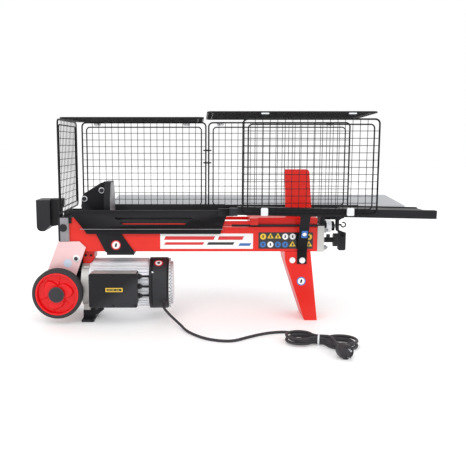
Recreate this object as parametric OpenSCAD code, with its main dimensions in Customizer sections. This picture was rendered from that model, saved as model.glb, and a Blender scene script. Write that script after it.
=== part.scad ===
// Horizontal electric log splitter with a wire guard cage.
// X runs along the beam towards the wedge, Y away from the loading side, Z up from the floor.

/* [Beam] */
// Left end of the box beam along X
beam_x0 = -482; // [-490:1:-476]
// Length of the box beam
beam_len = 740; // [738:1:748]
// Width of the box beam
beam_w = 100; // [96:1:104]
// Height of the box beam
beam_h = 73; // [72:1:75]
// Height that the two feet lift the machine by, so that the wheels hang clear of the floor
stand = 20; // [16:1:24]
// Height of the beam's underside over the feet's lift
beam_z = 191; // [189:1:192]
// Wall thickness of the beam
beam_wall = 4; // [3:0.5:4]
// Y of the beam's centre line
beam_y = -138; // [-142:1:-134]

/* [Hydraulics] */
// Stroke of the pusher
stroke = 330; // [280:5:330]
// Bore of the cylinder
bore_d = 50; // [45:1:52]
// Diameter of the piston rod
rod_d = 28; // [22:1:30]

/* [Pusher and wedge] */
// X of the pusher's face at rest
face_x = -358; // [-362:1:-354]
// X of the wedge's cutting edge at its foot
wedge_x = 168; // [160:1:176]
// Height of the wedge's top over the feet's lift
wedge_top = 434; // [400:1:450]
// Thickness of the wedge plate
wedge_t = 20; // [14:1:26]

/* [Cradle and table] */
// Half of the distance between the wings' top edges
wing_y = 95; // [90:1:100]
// Height of the wings' top edges
wing_top = 320; // [316:1:321]
// Slope of the table rail, in degrees, down to the right
rail_droop = 1.15; // [0:0.05:1.3]
// Upward tilt of the rear table, in degrees
table_tilt = 4.5; // [0:0.5:5]

/* [Guard cage] */
// Diameter of the cage's frame wire
frame_wire = 5; // [4:0.5:6]
// Diameter of the cage's mesh wire
mesh_wire = 2; // [1.6:0.1:2.4]
// Pitch of the mesh
mesh_pitch = 20; // [18:1:30]
// Y of the front guard panel
cage_y0 = -261; // [-263:1:-260]
// Y of the rear guard panels
cage_y1 = 29; // [24:1:34]
// Height of the cage's foot
cage_z0 = 309; // [306:1:312]
// Height of the rear panels' top
cage_z1 = 581; // [560:1:590]

/* [Wheels] */
// Diameter of the wheels
wheel_d = 148; // [140:1:148]
// Width of the wheels
wheel_w = 32; // [24:1:34]
// Diameter of the axle
axle_d = 16; // [12:1:18]
// X of the axle
axle_x = -512.5; // [-512.5:0.5:-508]
// Height of the axle over the feet's lift
axle_z = 72.5; // [71:0.5:74]
// Distance from the beam's centre line to the middle of a wheel
wheel_y = 92; // [90:1:94]

/* [Motor] */
// Height of the motor's axis
motor_z = 86; // [84:1:90]
// Outer diameter of the motor barrel over its fins
motor_d = 146; // [140:1:148]
// Teeth on each pump gear
pump_teeth = 12; // [12:4:12]
// Centre distance of the pump gears
gear_gap = 36; // [36:1:37]

/* [Mains lead] */
// Diameter of the lead
lead_d = 8; // [7:0.5:9]

/* [Hidden] */
$fn = 48;

beam_x1 = beam_x0 + beam_len;
beam_top = beam_z + beam_h;
beam_mid = beam_z + beam_h / 2;
beam_near = beam_y - beam_w / 2;
beam_far = beam_y + beam_w / 2;
cap_x0 = beam_x0 - 31;
cap_x1 = beam_x1 + 20;
cap_half = 52;
barrel_x0 = beam_x0 - 20;
leg_near = beam_near - 4;
leg_far = beam_far + 4;
piston_len = 24;
piston_x = barrel_x0 + 5;
gland_x = piston_x + piston_len + stroke;
gland_len = 26;
rod_end = gland_x + gland_len + 4;
cross_x = rod_end - 2;
cross_len = 30;
bar_half = 24;
bar_z0 = beam_top + 0.4;
bar_z1 = bar_z0 + 6;
base_z1 = 292;
plate_in = beam_w / 2 + 0.5;
plate_t = 5;
wing_in = beam_w / 2 + 7;
lid_z = cage_z1 + 1;
lid_y1 = cage_y1 - 4.5;
lid_right_z = cage_z1 + 9;
panel_split = -66;
rail_x0 = 16;
rail_x1 = 586.5;
rail_z0 = 307.5;
rail_z1 = 331.6;
rail_y0 = -256;
rail_y1 = -234;
front_x0 = 26;
front_x1 = 414;
clip_xs = [90, 335];
rear_clip_xs = [-426, -136, -26, 330];
leg_bolt_xs = [184, 213];
leg_bolt_z = 165;
bolt_at = [[-385, 373], [-437, 348]];
table_y1 = 269;
gear_tip = gear_gap / 2 + 2.4;
lever_pivot = [327, 285];
spool_z = 262;
bleed_z = 219;

// The lead leaves the fan cowl radially, downwards on the loading side.
lead_x = -200;
lead_angle = 126.87;
relief_r = 98;

// Points of the lead's route, laid by hand: out of the cowl, down to the floor and along it.
lead_r = lead_d / 2;
lead_path = [[-200, -216, 47], [-197, -221, 42], [-190, -229, 36], [-180, -239, 28], [-168, -251, 20],
    [-156, -265, 13], [-146, -280, 8], [-138, -298, 5], [-128, -320, 4], [-116, -342, 4], [-102, -362, 4],
    [-86, -381, 4], [-66, -397, 4], [-42, -408, 4], [-14, -412, 4], [8, -403, 4], [30, -385, 4],
    [54, -366, 4], [80, -348, 4], [110, -334, 4], [142, -328, 4], [164, -334, 4], [180, -349, 4],
    [188, -368, 4], [193, -385, 4]];
plug_at = [257, -504];
plug_turn = -75;
hank_h = 26;

function arc(cx, cy, r, a0, a1, n = 6) =
    [for (i = [0:n]) [cx + r * cos(a0 + (a1 - a0) * i / n), cy + r * sin(a0 + (a1 - a0) * i / n)]];

function round_rect(x0, x1, y0, y1, r) = concat(
    arc(x1 - r, y1 - r, r, 0, 90), arc(x0 + r, y1 - r, r, 90, 180),
    arc(x0 + r, y0 + r, r, 180, 270), arc(x1 - r, y0 + r, r, 270, 360));

// Lifts a sub-part off the floor by the height of the feet.
module raise() {
    translate([0, 0, stand]) children();
}

// A box between two corners.
module box(x, y, z) {
    translate([x[0], y[0], z[0]]) cube([x[1] - x[0], y[1] - y[0], z[1] - z[0]]);
}

// A plate whose outline lies in XZ, between two Y values.
module slab_y(y0, y1) {
    translate([0, y1, 0]) rotate([90, 0, 0]) linear_extrude(y1 - y0) children();
}

// A plate whose outline lies in YZ, between two X values.
module slab_x(x0, x1) {
    translate([x0, 0, 0]) rotate([90, 0, 90]) linear_extrude(x1 - x0) children();
}

module shaft_x(x0, x1, y, z, d) {
    translate([x0, y, z]) rotate([0, 90, 0]) cylinder(h = x1 - x0, d = d);
}

module shaft_y(y0, y1, x, z, d) {
    translate([x, y0, z]) rotate([-90, 0, 0]) cylinder(h = y1 - y0, d = d);
}

module shaft_z(z0, z1, x, y, d) {
    translate([x, y, z0]) cylinder(h = z1 - z0, d = d);
}

module hex_y(y0, y1, x, z, af) {
    translate([x, y0, z]) rotate([-90, 0, 0]) cylinder(h = y1 - y0, d = af / cos(30), $fn = 6);
}

module hex_x(x0, x1, y, z, af) {
    translate([x0, y, z]) rotate([0, 90, 0]) cylinder(h = x1 - x0, d = af / cos(30), $fn = 6);
}

// A bolt through a plate: a washer and a hexagon head that stand out towards the loading side.
module bolt_near(x, y, z, d, len) {
    shaft_y(y, y + len, x, z, d);
    shaft_y(y - 1.6, y, x, z, d * 2.2);
    hex_y(y - 1.6 - d * 0.6, y - 1.6, x, z, d * 1.6);
}

// A flat ring of wire with rounded corners, in the XY plane.
module wire_ring(w, h, r, wire) {
    translate([0, 0, -wire / 2]) linear_extrude(wire) difference() {
        polygon(round_rect(0, w, 0, h, r));
        polygon(round_rect(wire, w - wire, wire, h - wire, r - wire / 2));
    }
}

// A guard panel in the XY plane: an outer and an inner ring of wire, and a mesh welded to them.
module guard_panel(w, h) {
    inset = 15;
    ring_in = frame_wire - 1;
    nu = floor((w - 2 * inset) / mesh_pitch);
    nv = floor((h - 2 * inset) / mesh_pitch);
    wire_ring(w, h, 15, frame_wire);
    translate([inset, inset, 0]) wire_ring(w - 2 * inset, h - 2 * inset, 12, 4);
    lift = mesh_wire / 2 + 0.05;
    for (i = [1:nu - 1]) let (u = inset + (w - 2 * inset) * i / nu)
        translate([u, ring_in, lift]) rotate([-90, 0, 0])
            cylinder(h = h - 2 * ring_in, d = mesh_wire, $fn = 24);
    for (j = [1:nv - 1]) let (v = inset + (h - 2 * inset) * j / nv)
        translate([ring_in, v, -lift]) rotate([0, 90, 0])
            cylinder(h = w - 2 * ring_in, d = mesh_wire, $fn = 24);
}

// A guard panel that stands in XZ.
module standing_panel(x0, x1, y, z0, z1) {
    translate([x0, y, z0]) rotate([90, 0, 0]) guard_panel(x1 - x0, z1 - z0);
}

module main_beam() raise() {
    slot_x0 = cross_x + 2;
    slot_x1 = cross_x + cross_len + stroke + 4;
    color("crimson") {
        difference() {
            box([beam_x0, beam_x1], [beam_near, beam_far], [beam_z, beam_top]);
            box([beam_x0 - 1, beam_x1 + 1], [beam_near + beam_wall, beam_far - beam_wall],
                [beam_z + beam_wall, beam_top - beam_wall]);
            box([slot_x0 - 6, slot_x1], [beam_y - 12, beam_y + 12], [beam_top - beam_wall - 1, beam_top + 1]);
        }
        difference() {
            box([173, 232], [beam_near + 0.4, beam_near + 5], [148, beam_z + 1]);
            for (x = leg_bolt_xs) shaft_y(beam_near, beam_near + 20, x, leg_bolt_z, 8.2);
        }
    }
}

module left_end_cap() raise() {
    color("silver") difference() {
        union() {
            box([cap_x0, beam_x0], [beam_y - cap_half, beam_y + cap_half], [beam_z - 2, 290]);
            shaft_y(beam_y - cap_half - 3, beam_y - cap_half + 5, cap_x0 + 12, beam_top - 2, 22);
        }
        shaft_x(barrel_x0, beam_x0 + 1, beam_y, beam_mid, bore_d + 10.2);
        for (sy = [-1, 1], sz = [-1, 1])
            shaft_x(cap_x0 + 4, beam_x0 + 1, beam_y + sy * 39, beam_mid + sz * 26, 8.2);
    }
}

module right_end_cap() raise() {
    color("lightgray") difference() {
        box([beam_x1, cap_x1], [beam_y - cap_half, beam_y + cap_half], [beam_z - 1, beam_top + 4]);
        for (sy = [-1, 1], sz = [-1, 1])
            shaft_x(beam_x1 - 1, cap_x1 + 1, beam_y + sy * 39, beam_mid + sz * 26, 8.4);
        shaft_x(cap_x1 - 16, cap_x1 + 1, beam_y, bleed_z, 10.1);
    }
}

module cylinder_barrel() raise() {
    color("gray") difference() {
        shaft_x(barrel_x0, gland_x, beam_y, beam_mid, bore_d + 10);
        shaft_x(barrel_x0 + 5, gland_x + 1, beam_y, beam_mid, bore_d + 0.1);
    }
}

module cylinder_gland() raise() {
    color("dimgray") difference() {
        shaft_x(gland_x, gland_x + gland_len, beam_y, beam_mid, bore_d + 10);
        shaft_x(gland_x - 1, gland_x + gland_len + 1, beam_y, beam_mid, rod_d + 0.1);
    }
}

module tie_rods() raise() {
    color("silver") for (sy = [-1, 1], sz = [-1, 1]) {
        shaft_x(cap_x0 + 6, cap_x1 + 13, beam_y + sy * 39, beam_mid + sz * 26, 8);
        hex_x(cap_x1, cap_x1 + 8, beam_y + sy * 39, beam_mid + sz * 26, 13);
    }
}

module wedge() raise() {
    back_top = 237;
    back_foot = 247;
    edge = 9;
    color("crimson") intersection() {
        slab_y(beam_y - wedge_t, beam_y + wedge_t)
            polygon(concat([[wedge_x - 5, wedge_top]], [[wedge_x, base_z1], [back_foot, base_z1]],
                arc(back_top - 10, wedge_top - 10, 10, 0, 90)));
        translate([0, 0, base_z1]) linear_extrude(wedge_top - base_z1) polygon([[wedge_x - 6, beam_y],
            [wedge_x + 40, beam_y + edge], [back_foot + 1, beam_y + edge], [back_foot + 1, beam_y - edge],
            [wedge_x + 40, beam_y - edge]]);
    }
}

module wedge_base() raise() {
    color("crimson") {
        box([56, beam_x1], [beam_y - 44, beam_y + 44], [bar_z1 + 0.6, base_z1]);
        for (s = [-1, 1]) {
            box([56, beam_x1], [beam_y + s * 36 - 8, beam_y + s * 36 + 8], [beam_top, bar_z1 + 1]);
            box([56, 80], [beam_y + s * 53 - 9.2, beam_y + s * 53 + 9], [272, base_z1]);
            box([-50, 57], [beam_y + s * 59.1 - 2.9, beam_y + s * 59.1 + 2.9], [274, 284]);
        }
    }
}

// One wing of the log cradle: side = -1 near, 1 far.
module wing(side) {
    t = 3;
    fold_z = 260;
    low_z = 245;
    x_top = [-471, -12];
    x_low = [-429, -32];
    upper = [-348, -113, 293];
    lower = [-329, -131, 278];
    slots = side < 0 ? [upper, lower] : [upper];
    lean = (wing_y - wing_in) / (wing_top - fold_z);
    profile = [[wing_in, low_z], [wing_in, fold_z], [wing_y, wing_top], [wing_y + t, wing_top - 1],
        [wing_in + t, fold_z - 1], [wing_in + t, low_z]];
    color([0.17, 0.18, 0.2]) difference() {
        intersection() {
            slab_x(x_top[0], x_top[1]) polygon([for (p = profile) [beam_y + side * p[0], p[1]]]);
            slab_y(beam_y - 120, beam_y + 120) polygon([[x_low[0], low_z], [x_top[0], wing_top - 8],
                [x_top[0], wing_top], [x_top[1], wing_top], [x_top[1], wing_top - 8], [x_low[1], low_z]]);
        }
        for (s = slots) slab_y(beam_y + side * (wing_in + (s[2] - fold_z) * lean) - 20,
            beam_y + side * (wing_in + (s[2] - fold_z) * lean) + 20)
            polygon([[s[0], s[2] + 4], [s[1], s[2] + 4], [s[1] - 6, s[2] - 4], [s[0] + 10, s[2] - 4]]);
    }
    color([0.17, 0.18, 0.2]) {
        spacer = beam_y + side * (beam_w / 2 + 3.5);
        box([x_low[0] + 2, x_low[0] + 20], [spacer - 3.5, spacer + 3.5], [low_z + 1, fold_z - 1]);
        tab = beam_y + side * 68.05;
        box([-48, -28], [tab - 6, tab + 6], [275, 283]);
    }
}

module wing_near() raise() { wing(-1); }
module wing_far() raise() { wing(1); }

// Bolts that hold the frame together, all of one size.
module frame_bolts() raise() {
    color("silver") {
        for (x = leg_bolt_xs) bolt_near(x, leg_near - (x > 200 ? 3.2 : 0), leg_bolt_z, 8, 14);
        bolt_near(-462, beam_y - cap_half - 4.2, 171, 8, 5.5);
    }
}

module wheel_brackets() raise() {
    outline = [[-515, 221], [-452, 222], [-433, 204], [-463, 121], [-493, 57], [-537, 57], [-549, 135]];
    color("crimson") difference() {
        for (s = [-1, 1]) let (y = beam_y + s * (cap_half + 2))
            slab_y(y - 2, y + 2) polygon(outline);
        shaft_y(beam_y - 80, beam_y + 80, axle_x, axle_z, axle_d + 0.2);
        shaft_y(beam_y - 80, beam_y - 20, -462, 171, 8.2);
        shaft_y(beam_y - 80, beam_y - 20, -514, 142, 10);
    }
}

module wheel_axle() raise() {
    reach = wheel_y + wheel_w / 2 + 3;
    color("silver") shaft_y(beam_y - reach, beam_y + reach, axle_x, axle_z, axle_d);
    color([0.2, 0.2, 0.22]) for (s = [-1, 1]) let (y = beam_y + s * (reach + 2))
        translate([axle_x, y, axle_z]) rotate([s * 90, 0, 0]) difference() {
            translate([0, 0, -4]) cylinder(h = 6.4, r1 = 23.5, r2 = 23.5);
            translate([0, 0, -5]) cylinder(h = 3, d = axle_d - 0.4);
        }
}

module support_leg() raise() {
    color("crimson") difference() {
        slab_y(leg_near, leg_far) polygon([[160, beam_z], [238, beam_z], [244, 142], [262, -stand],
            [224, -stand], [169, 142], [162, 165]]);
        slab_y(beam_near, leg_far + 1) polygon([[164, beam_z - 4], [234, beam_z - 4], [240, 142],
            [257, 4 - stand], [229, 4 - stand], [173, 142], [166, 165]]);
        box([166, 236], [beam_near, beam_near + 6], [146, beam_z + 1]);
        for (x = leg_bolt_xs) shaft_y(leg_near - 1, beam_near + 5, x, leg_bolt_z, 8.2);
    }
}

module rail_strap() raise() {
    t = 3;
    y_low = leg_near - 0.1;
    y_top = rail_y0 + 11;
    z_top = rail_z0 - (212 - rail_x0) * tan(rail_droop) - 0.7;
    color("dimgray") difference() {
        slab_x(197.5, 226.5) polygon([[y_low, 154], [y_low, 190], [y_low - 3, 200], [y_top + 3, z_top - t],
            [rail_y1, z_top - t], [rail_y1, z_top], [y_top, z_top], [y_low - t - 3, 200], [y_low - t, 190],
            [y_low - t, 154]]);
        shaft_y(y_low - 5, y_low + 1, leg_bolt_xs[1], leg_bolt_z, 8.2);
    }
}

module rail_frame() {
    translate([rail_x0, 0, rail_z1]) rotate([0, rail_droop, 0]) translate([-rail_x0, 0, -rail_z1])
        children();
}

module table_rail() raise() {
    color([0.2, 0.21, 0.23]) rail_frame() {
        difference() {
            box([rail_x0, rail_x1], [rail_y0, rail_y1], [rail_z0, rail_z1]);
            box([rail_x0 - 1, rail_x1 + 1], [rail_y0 + 2, rail_y1 - 2], [rail_z0 + 2, rail_z1 - 2]);
        }
        box([317, 553], [rail_y1 - 1, -180], [rail_z1 - 4, rail_z1]);
        box([317, 553], [-183, -180], [rail_z1 - 1, rail_z1 + 3]);
    }
}

// The knuckle between the near wing and the rail, with a tongue inside the rail.
module rail_bracket() raise() {
    y_wing = beam_y - wing_y - 3.2;
    color([0.17, 0.18, 0.2]) {
        slab_x(-40, 4) polygon([[y_wing - 7, 303], [y_wing + 9.9, 303], [y_wing, 318.6], [y_wing, 325],
            [y_wing - 7, 325]]);
        box([-8, 15.4], [rail_y0 + 2.5, y_wing - 0.2], [305, 327]);
        box([15, 44], [rail_y0 + 2.5, rail_y1 - 2.5], [310, 328.4]);
    }
}

module rear_table() raise() {
    x0 = -390;
    x1 = 586.5;
    t = 1.5;
    lip = 14;
    y0 = cage_y1 + 6;
    depth = (table_y1 - y0 - lip * sin(table_tilt)) / cos(table_tilt);
    color("gainsboro") translate([0, y0, cage_z0 - 1]) rotate([table_tilt, 0, 0]) {
        box([x0, x1], [0, depth], [-t, 0]);
        box([x0, x1], [0, t], [-lip, 0]);
        box([x0, x1], [depth - t, depth], [-lip, 0]);
    }
}

// Angle arms that carry the rear table and the rear guard panels from the beam's far side.
module table_arms() raise() {
    t = 4;
    bar_y0 = cage_y1 - 12;
    color([0.17, 0.18, 0.2]) {
        slab_x(-470, -470 + t)
            polygon([[beam_far, 228], [beam_far, 256], [bar_y0, 293], [bar_y0 + 14, 293], [bar_y0 + 14, 284]]);
        box([-470, -446], [beam_far, beam_far + t], [228, 256]);
        for (x = [80, 232]) {
            slab_x(x, x + t) polygon([[beam_far, 196], [beam_far, 236], [bar_y0, 293], [234, 293],
                [234, 289], [cage_y1 + 10, 268]]);
            box([x, x + 20], [beam_far, beam_far + t], [196, 236]);
        }
        box([-455, 430], [bar_y0, cage_y1 + 2.5], [292, 306.2]);
        for (x = [-440, -200, 60, 380]) box([x, x + 12], [cage_y1 - 2.5, cage_y1 + 2.5], [306, cage_z0]);
    }
}

module guard_brackets() raise() {
    side = beam_y - cap_half - 3;
    color([0.17, 0.18, 0.2]) {
        box([cap_x0, -474], [side, beam_y + cap_half + 3], [290, 294]);
        box([cap_x0, -474], [side, side + 3], [276, 294]);
        box([-496, -490], [side, beam_y + cap_half + 3], [294, 310]);
        box([cap_x0, -503], [beam_y + cap_half, cage_y1 - 8], [290, 294]);
        box([cap_x0, -470.3], [cage_y1 - 12, cage_y1 - 8], [286, 300]);
    }
}

module end_panel() raise() {
    color([0.12, 0.12, 0.13])
        translate([-493, cage_y0, 310]) rotate([90, 0, 90]) guard_panel(cage_y1 - 8 - cage_y0, cage_z1 - 310);
}

module rear_left_panel() raise() {
    color([0.12, 0.12, 0.13]) standing_panel(-478, panel_split - 4.5, cage_y1, cage_z0, cage_z1);
}

module rear_right_panel() raise() {
    color([0.12, 0.12, 0.13]) standing_panel(panel_split, 398, cage_y1, cage_z0, cage_z1);
}

// Plastic clips under the lids' hinge wires, and the ring ties between the rear panels.
module panel_clips() raise() {
    color("whitesmoke") for (x = rear_clip_xs)
        box([x - 11, x + 11], [cage_y1 + 2.9, cage_y1 + 6], [cage_z1 - 12, cage_z1]);
    color([0.12, 0.12, 0.13]) for (z = [449.2, 489.4])
        translate([panel_split - 2.25, cage_y1, z]) difference() {
            cylinder(h = 5, d = 29, center = true);
            cylinder(h = 6, d = 24, center = true);
        }
}

module motor_barrel() raise() {
    x0 = -425;
    x1 = -243;
    fins = 40;
    color("gainsboro") difference() {
        shaft_x(x0, x1, beam_y, motor_z, motor_d);
        shaft_x(x0 - 1, x1 + 1, beam_y, motor_z, motor_d - 22);
        for (i = [0:fins - 1]) let (a = 360 * i / fins)
            translate([x0 + 6, beam_y, motor_z]) rotate([a, 0, 0])
                translate([0, -1.5, motor_d / 2 - 5]) cube([x1 - x0 - 12, 3, 8]);
    }
}

module motor_flange() raise() {
    x0 = -448;
    color("silver") difference() {
        union() {
            shaft_x(x0, -425, beam_y, motor_z, motor_d - 2);
            box([x0 + 2, -427], [beam_y - 38, beam_y + 38], [8, motor_z]);
        }
        shaft_x(x0 - 1, -424, beam_y, motor_z, 16);
        shaft_x(x0 + 10, -424, beam_y, motor_z, motor_d - 40);
    }
}

module terminal_box() raise() {
    color([0.2, 0.21, 0.23]) difference() {
        union() {
            slab_y(-250, -190) polygon(round_rect(-415, -277, 37, 134, 5));
            slab_y(-254, -249.8) polygon(round_rect(-417, -275, 35, 136, 6));
        }
        shaft_x(-420, -260, beam_y, motor_z, motor_d + 0.6);
        box([-410, -282], [-246, -214], [45, 126]);
    }
}

module fan_cowl() raise() {
    x0 = -245;
    x1 = -186;
    color([0.13, 0.13, 0.14]) difference() {
        shaft_x(x0, x1, beam_y, motor_z, motor_d + 11);
        shaft_x(x0 - 1, x1 + 1, beam_y, motor_z, motor_d + 2);
        translate([lead_x, beam_y, motor_z]) rotate([lead_angle, 0, 0]) cylinder(h = 90, d = 14);
    }
}

module fan_grille() raise() {
    x0 = -186;
    color("whitesmoke") difference() {
        union() {
            shaft_x(x0, x0 + 3, beam_y, motor_z, motor_d + 6);
            shaft_x(x0 + 3, x0 + 12, beam_y, motor_z, motor_d - 16);
        }
        shaft_x(x0 - 1, x0 + 9, beam_y, motor_z, motor_d - 22);
        for (ring = [1:3], i = [0:ring * 8 - 1]) let (a = 360 * i / (ring * 8), r = ring * 17)
            shaft_x(x0 - 1, x0 + 13, beam_y + r * cos(a), motor_z + r * sin(a), 7);
    }
}

// Outline of a spur gear in YZ, with a tooth centred on the angle phase.
function gear_outline(teeth, pitch_r, phase) = [for (k = [0:teeth - 1], p =
    [[-0.33, -3.2], [-0.12, 2.2], [0.12, 2.2], [0.33, -3.2]])
    let (a = phase + (k + p[0]) * 360 / teeth, r = pitch_r + p[1]) [r * cos(a), r * sin(a)]];

module pump_body() raise() {
    x0 = -503;
    x1 = -448.2;
    tip = gear_tip + 0.4;
    color("silver") difference() {
        union() {
            box([x0, x1], [beam_y - 36, beam_y + 36], [50, beam_z - 2]);
            shaft_x(x0, x1, beam_y, motor_z, 92);
        }
        for (z = [motor_z, motor_z + gear_gap]) shaft_x(x0 + 6, x0 + 26, beam_y, z, 2 * tip);
        shaft_x(x0 + 20, x1 + 1, beam_y, motor_z, 14.1);
        shaft_x(x0 + 2, x0 + 46, beam_y, motor_z + gear_gap, 12.1);
    }
}

module motor_foot() raise() {
    color([0.13, 0.13, 0.14]) {
        box([-448, -411], [beam_y - 75, beam_y + 75], [-stand, 6 - stand]);
        box([-448, -411], [beam_y - 38, beam_y + 38], [5 - stand, 7.9]);
        for (s = [-1, 1]) slab_y(beam_y + s * 34 - 4, beam_y + s * 34 + 4)
            polygon([[-412, 8], [-412, -6], [-402, -4], [-385, 10], [-389, 16], [-396, 15]]);
    }
}

module switch_box() raise() {
    x0 = -582;
    x1 = -541;
    y0 = beam_y - 38;
    y1 = beam_y + 38;
    color([0.17, 0.18, 0.2]) difference() {
        union() {
            slab_y(y0, y1) polygon(concat([[x0, 344], [x0, 262]], arc(x0 + 14, 264, 14, 180, 270),
                [[-559, 250], [x1, 268], [x1, 344]]));
            slab_y(y0 + 16, y1 - 16) polygon([[x1 - 1, 346], [-508, 346], [-508, 325], [-514, 318],
                [-514, 268], [x1 - 1, 262]]);
        }
        shaft_x(x0 - 1, x0 + 15, beam_y, 303, 15);
    }
    color([0.17, 0.18, 0.2]) box([-516, cap_x0], [beam_y - 22, beam_y + 22], [270, 288]);
}

module valve_block() raise() {
    color("dimgray") difference() {
        union() {
            box([270, 284], [beam_y - 26, beam_y + 26], [beam_top + 4.2, 293]);
            box([cap_x1 + 0.2, 291], [beam_y - 20, beam_y + 20], [spool_z - 16, 272]);
            slab_y(beam_y + 12, beam_y + 17) polygon([[280, 280], [321, 280], [339, 278], [339, 292],
                [280, 292]]);
            shaft_y(beam_y - 5, beam_y + 14, lever_pivot[0], lever_pivot[1], 6);
        }
        shaft_x(283, 310, beam_y, spool_z, 10.1);
    }
    color("silver") difference() {
        shaft_x(291.1, 306, beam_y, spool_z, 36);
        shaft_x(283, 310, beam_y, spool_z, 10.1);
    }
}

module cord_relief() raise() {
    color([0.1, 0.1, 0.1]) translate([lead_x, beam_y, motor_z]) rotate([lead_angle, 0, 0]) {
        translate([0, 0, 73]) cylinder(h = 6, d = 13.6);
        translate([0, 0, 78.7]) cylinder(h = 3, d = 18);
        translate([0, 0, 81.6]) cylinder(h = relief_r - 81.6, d1 = 15, d2 = 10.4);
    }
}

module pusher_head() raise() {
    cheek = [[-446, bar_z1 + 0.4], [-376, bar_z1 + 0.4], [-376, 395], [-386, 396], [-418, 376],
        [-440, 362], [-446, 350]];
    color([0.15, 0.16, 0.17]) difference() {
        union() {
            for (s = [-1, 1]) slab_y(beam_y + s * 32 - 4, beam_y + s * 32 + 4) polygon(cheek);
            slab_x(-376.2, face_x) polygon([[beam_y - 40, bar_z1 + 0.6], [beam_y + 40, bar_z1 + 0.6],
                [beam_y + 50, 290], [beam_y + 60, 310], [beam_y + 60, 350], [beam_y + 37, 398],
                [beam_y - 37, 398], [beam_y - 60, 350], [beam_y - 60, 310], [beam_y - 50, 290]]);
        }
        for (p = bolt_at)
            shaft_y(beam_y - 40, beam_y + 40, p[0], p[1], 10.2);
    }
}

module pusher_block() raise() {
    color("silver") difference() {
        slab_y(beam_y - 27.8, beam_y + 27.8)
            polygon([[-445, bar_z1 + 0.4], [-376.4, bar_z1 + 0.4], [-376.4, 386], [-392, 384], [-445, 352]]);
        for (p = bolt_at) shaft_y(beam_y - 40, beam_y + 40, p[0], p[1], 10.2);
        box([-430, -390], [beam_y - 16, beam_y + 16], [bar_z1, 330]);
    }
}

module pusher_bolts() raise() {
    color("silver") for (p = bolt_at) {
        shaft_y(beam_y - 44, beam_y + 44, p[0], p[1], 10);
        for (s = [-1, 1]) {
            shaft_y(beam_y + s * 37 - 0.9, beam_y + s * 37 + 0.9, p[0], p[1], 17);
            hex_y(beam_y + s * 40.9 - 3, beam_y + s * 40.9 + 3, p[0], p[1], 13);
        }
    }
}

module guide_plates() raise() {
    color([0.15, 0.16, 0.17]) for (s = [-1, 1]) let (y = beam_y + s * (plate_in + plate_t / 2)) {
        slab_y(y - plate_t / 2, y + plate_t / 2) polygon([[-404, 248], [-374, beam_z - 2],
            [-288, beam_z - 2], [-329, 248], [-341, bar_z1 + 8], [-404, bar_z1 + 8]]);
        box([-404, -382], [beam_y + s * 46 - 9.5, beam_y + s * 46 + 9.5], [bar_z1 + 0.4, bar_z1 + 8]);
    }
}

module retainer_plate() raise() {
    half = plate_in + plate_t;
    color([0.15, 0.16, 0.17]) box([-371, -289], [beam_y - half, beam_y + half], [181, beam_z - 2]);
}

module slide_bar() raise() {
    color("gray") box([-446, cross_x + cross_len], [beam_y - bar_half, beam_y + bar_half], [bar_z0, bar_z1]);
}

module crosshead() raise() {
    color("dimgray") difference() {
        union() {
            box([cross_x, cross_x + cross_len], [beam_y - 23, beam_y + 23], [beam_mid - 21, beam_mid + 25]);
            box([cross_x, cross_x + cross_len], [beam_y - 11, beam_y + 11], [beam_mid + 24, bar_z0]);
        }
        shaft_x(cross_x - 1, cross_x + cross_len + 1, beam_y, beam_mid, 20.1);
    }
}

module piston_rod() raise() {
    color("silver") {
        shaft_x(piston_x, piston_x + piston_len, beam_y, beam_mid, bore_d);
        shaft_x(piston_x + piston_len - 1, cross_x - 0.1, beam_y, beam_mid, rod_d);
        shaft_x(cross_x - 1, cross_x + cross_len - 1, beam_y, beam_mid, 20);
    }
}

// One wheel: side = -1 near, 1 far.
module tyre(side) {
    y = beam_y + side * wheel_y;
    r = wheel_d / 2;
    w = wheel_w / 2;
    color([0.2, 0.2, 0.2]) translate([axle_x, y, axle_z]) rotate([90, 0, 0]) rotate_extrude($fn = 96)
        polygon([[r - 10.9, -13], [r - 8, -w], [r - 3.5, -w], [r, -11], [r, 11], [r - 3.5, w],
            [r - 8, w], [r - 10.9, 13]]);
}

module rim(side) {
    y = beam_y + side * wheel_y;
    r = wheel_d / 2 - 11;
    reach = wheel_w / 2 - 1;
    color("crimson") translate([axle_x, y, axle_z]) rotate([90, 0, 0]) difference() {
        cylinder(h = 2 * reach, r = r, center = true);
        cylinder(h = wheel_w, d = axle_d + 0.1, center = true);
        for (s = [-1, 1]) translate([0, 0, s * reach]) difference() {
            cylinder(h = 16, r = r - 5, center = true);
            cylinder(h = 17, r = 24, center = true);
            for (i = [0:2]) rotate([0, 0, 120 * i + 30]) translate([0, -6, -9]) cube([58, 12, 18]);
        }
    }
}

module tyre_near() raise() { tyre(-1); }
module tyre_far() raise() { tyre(1); }
module rim_near() raise() { rim(-1); }
module rim_far() raise() { rim(1); }

module control_lever() raise() {
    color([0.13, 0.13, 0.14]) difference() {
        union() {
            slab_y(beam_y - 3, beam_y + 3) polygon([[321, 293], [332, 293], [332, 250], [345, 244],
                [345, 231], [336, 231], [336, 240], [323, 248], [321, 262]]);
            shaft_y(beam_y - 4.8, beam_y + 8, lever_pivot[0], lever_pivot[1], 14);
        }
        shaft_y(beam_y - 6, beam_y + 9, lever_pivot[0], lever_pivot[1], 6.1);
    }
}

module lever_grip() raise() {
    color([0.13, 0.13, 0.14]) slab_y(beam_y - 9, beam_y + 9)
        polygon(concat([[330, 242], [330, 192]], arc(335, 192, 5, 180, 270, 3), arc(348, 192, 5, 270, 360, 3),
            [[353, 242], [345.2, 243.4], [345.2, 230.8], [335.8, 230.8], [335.8, 239.5]]));
}

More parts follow.
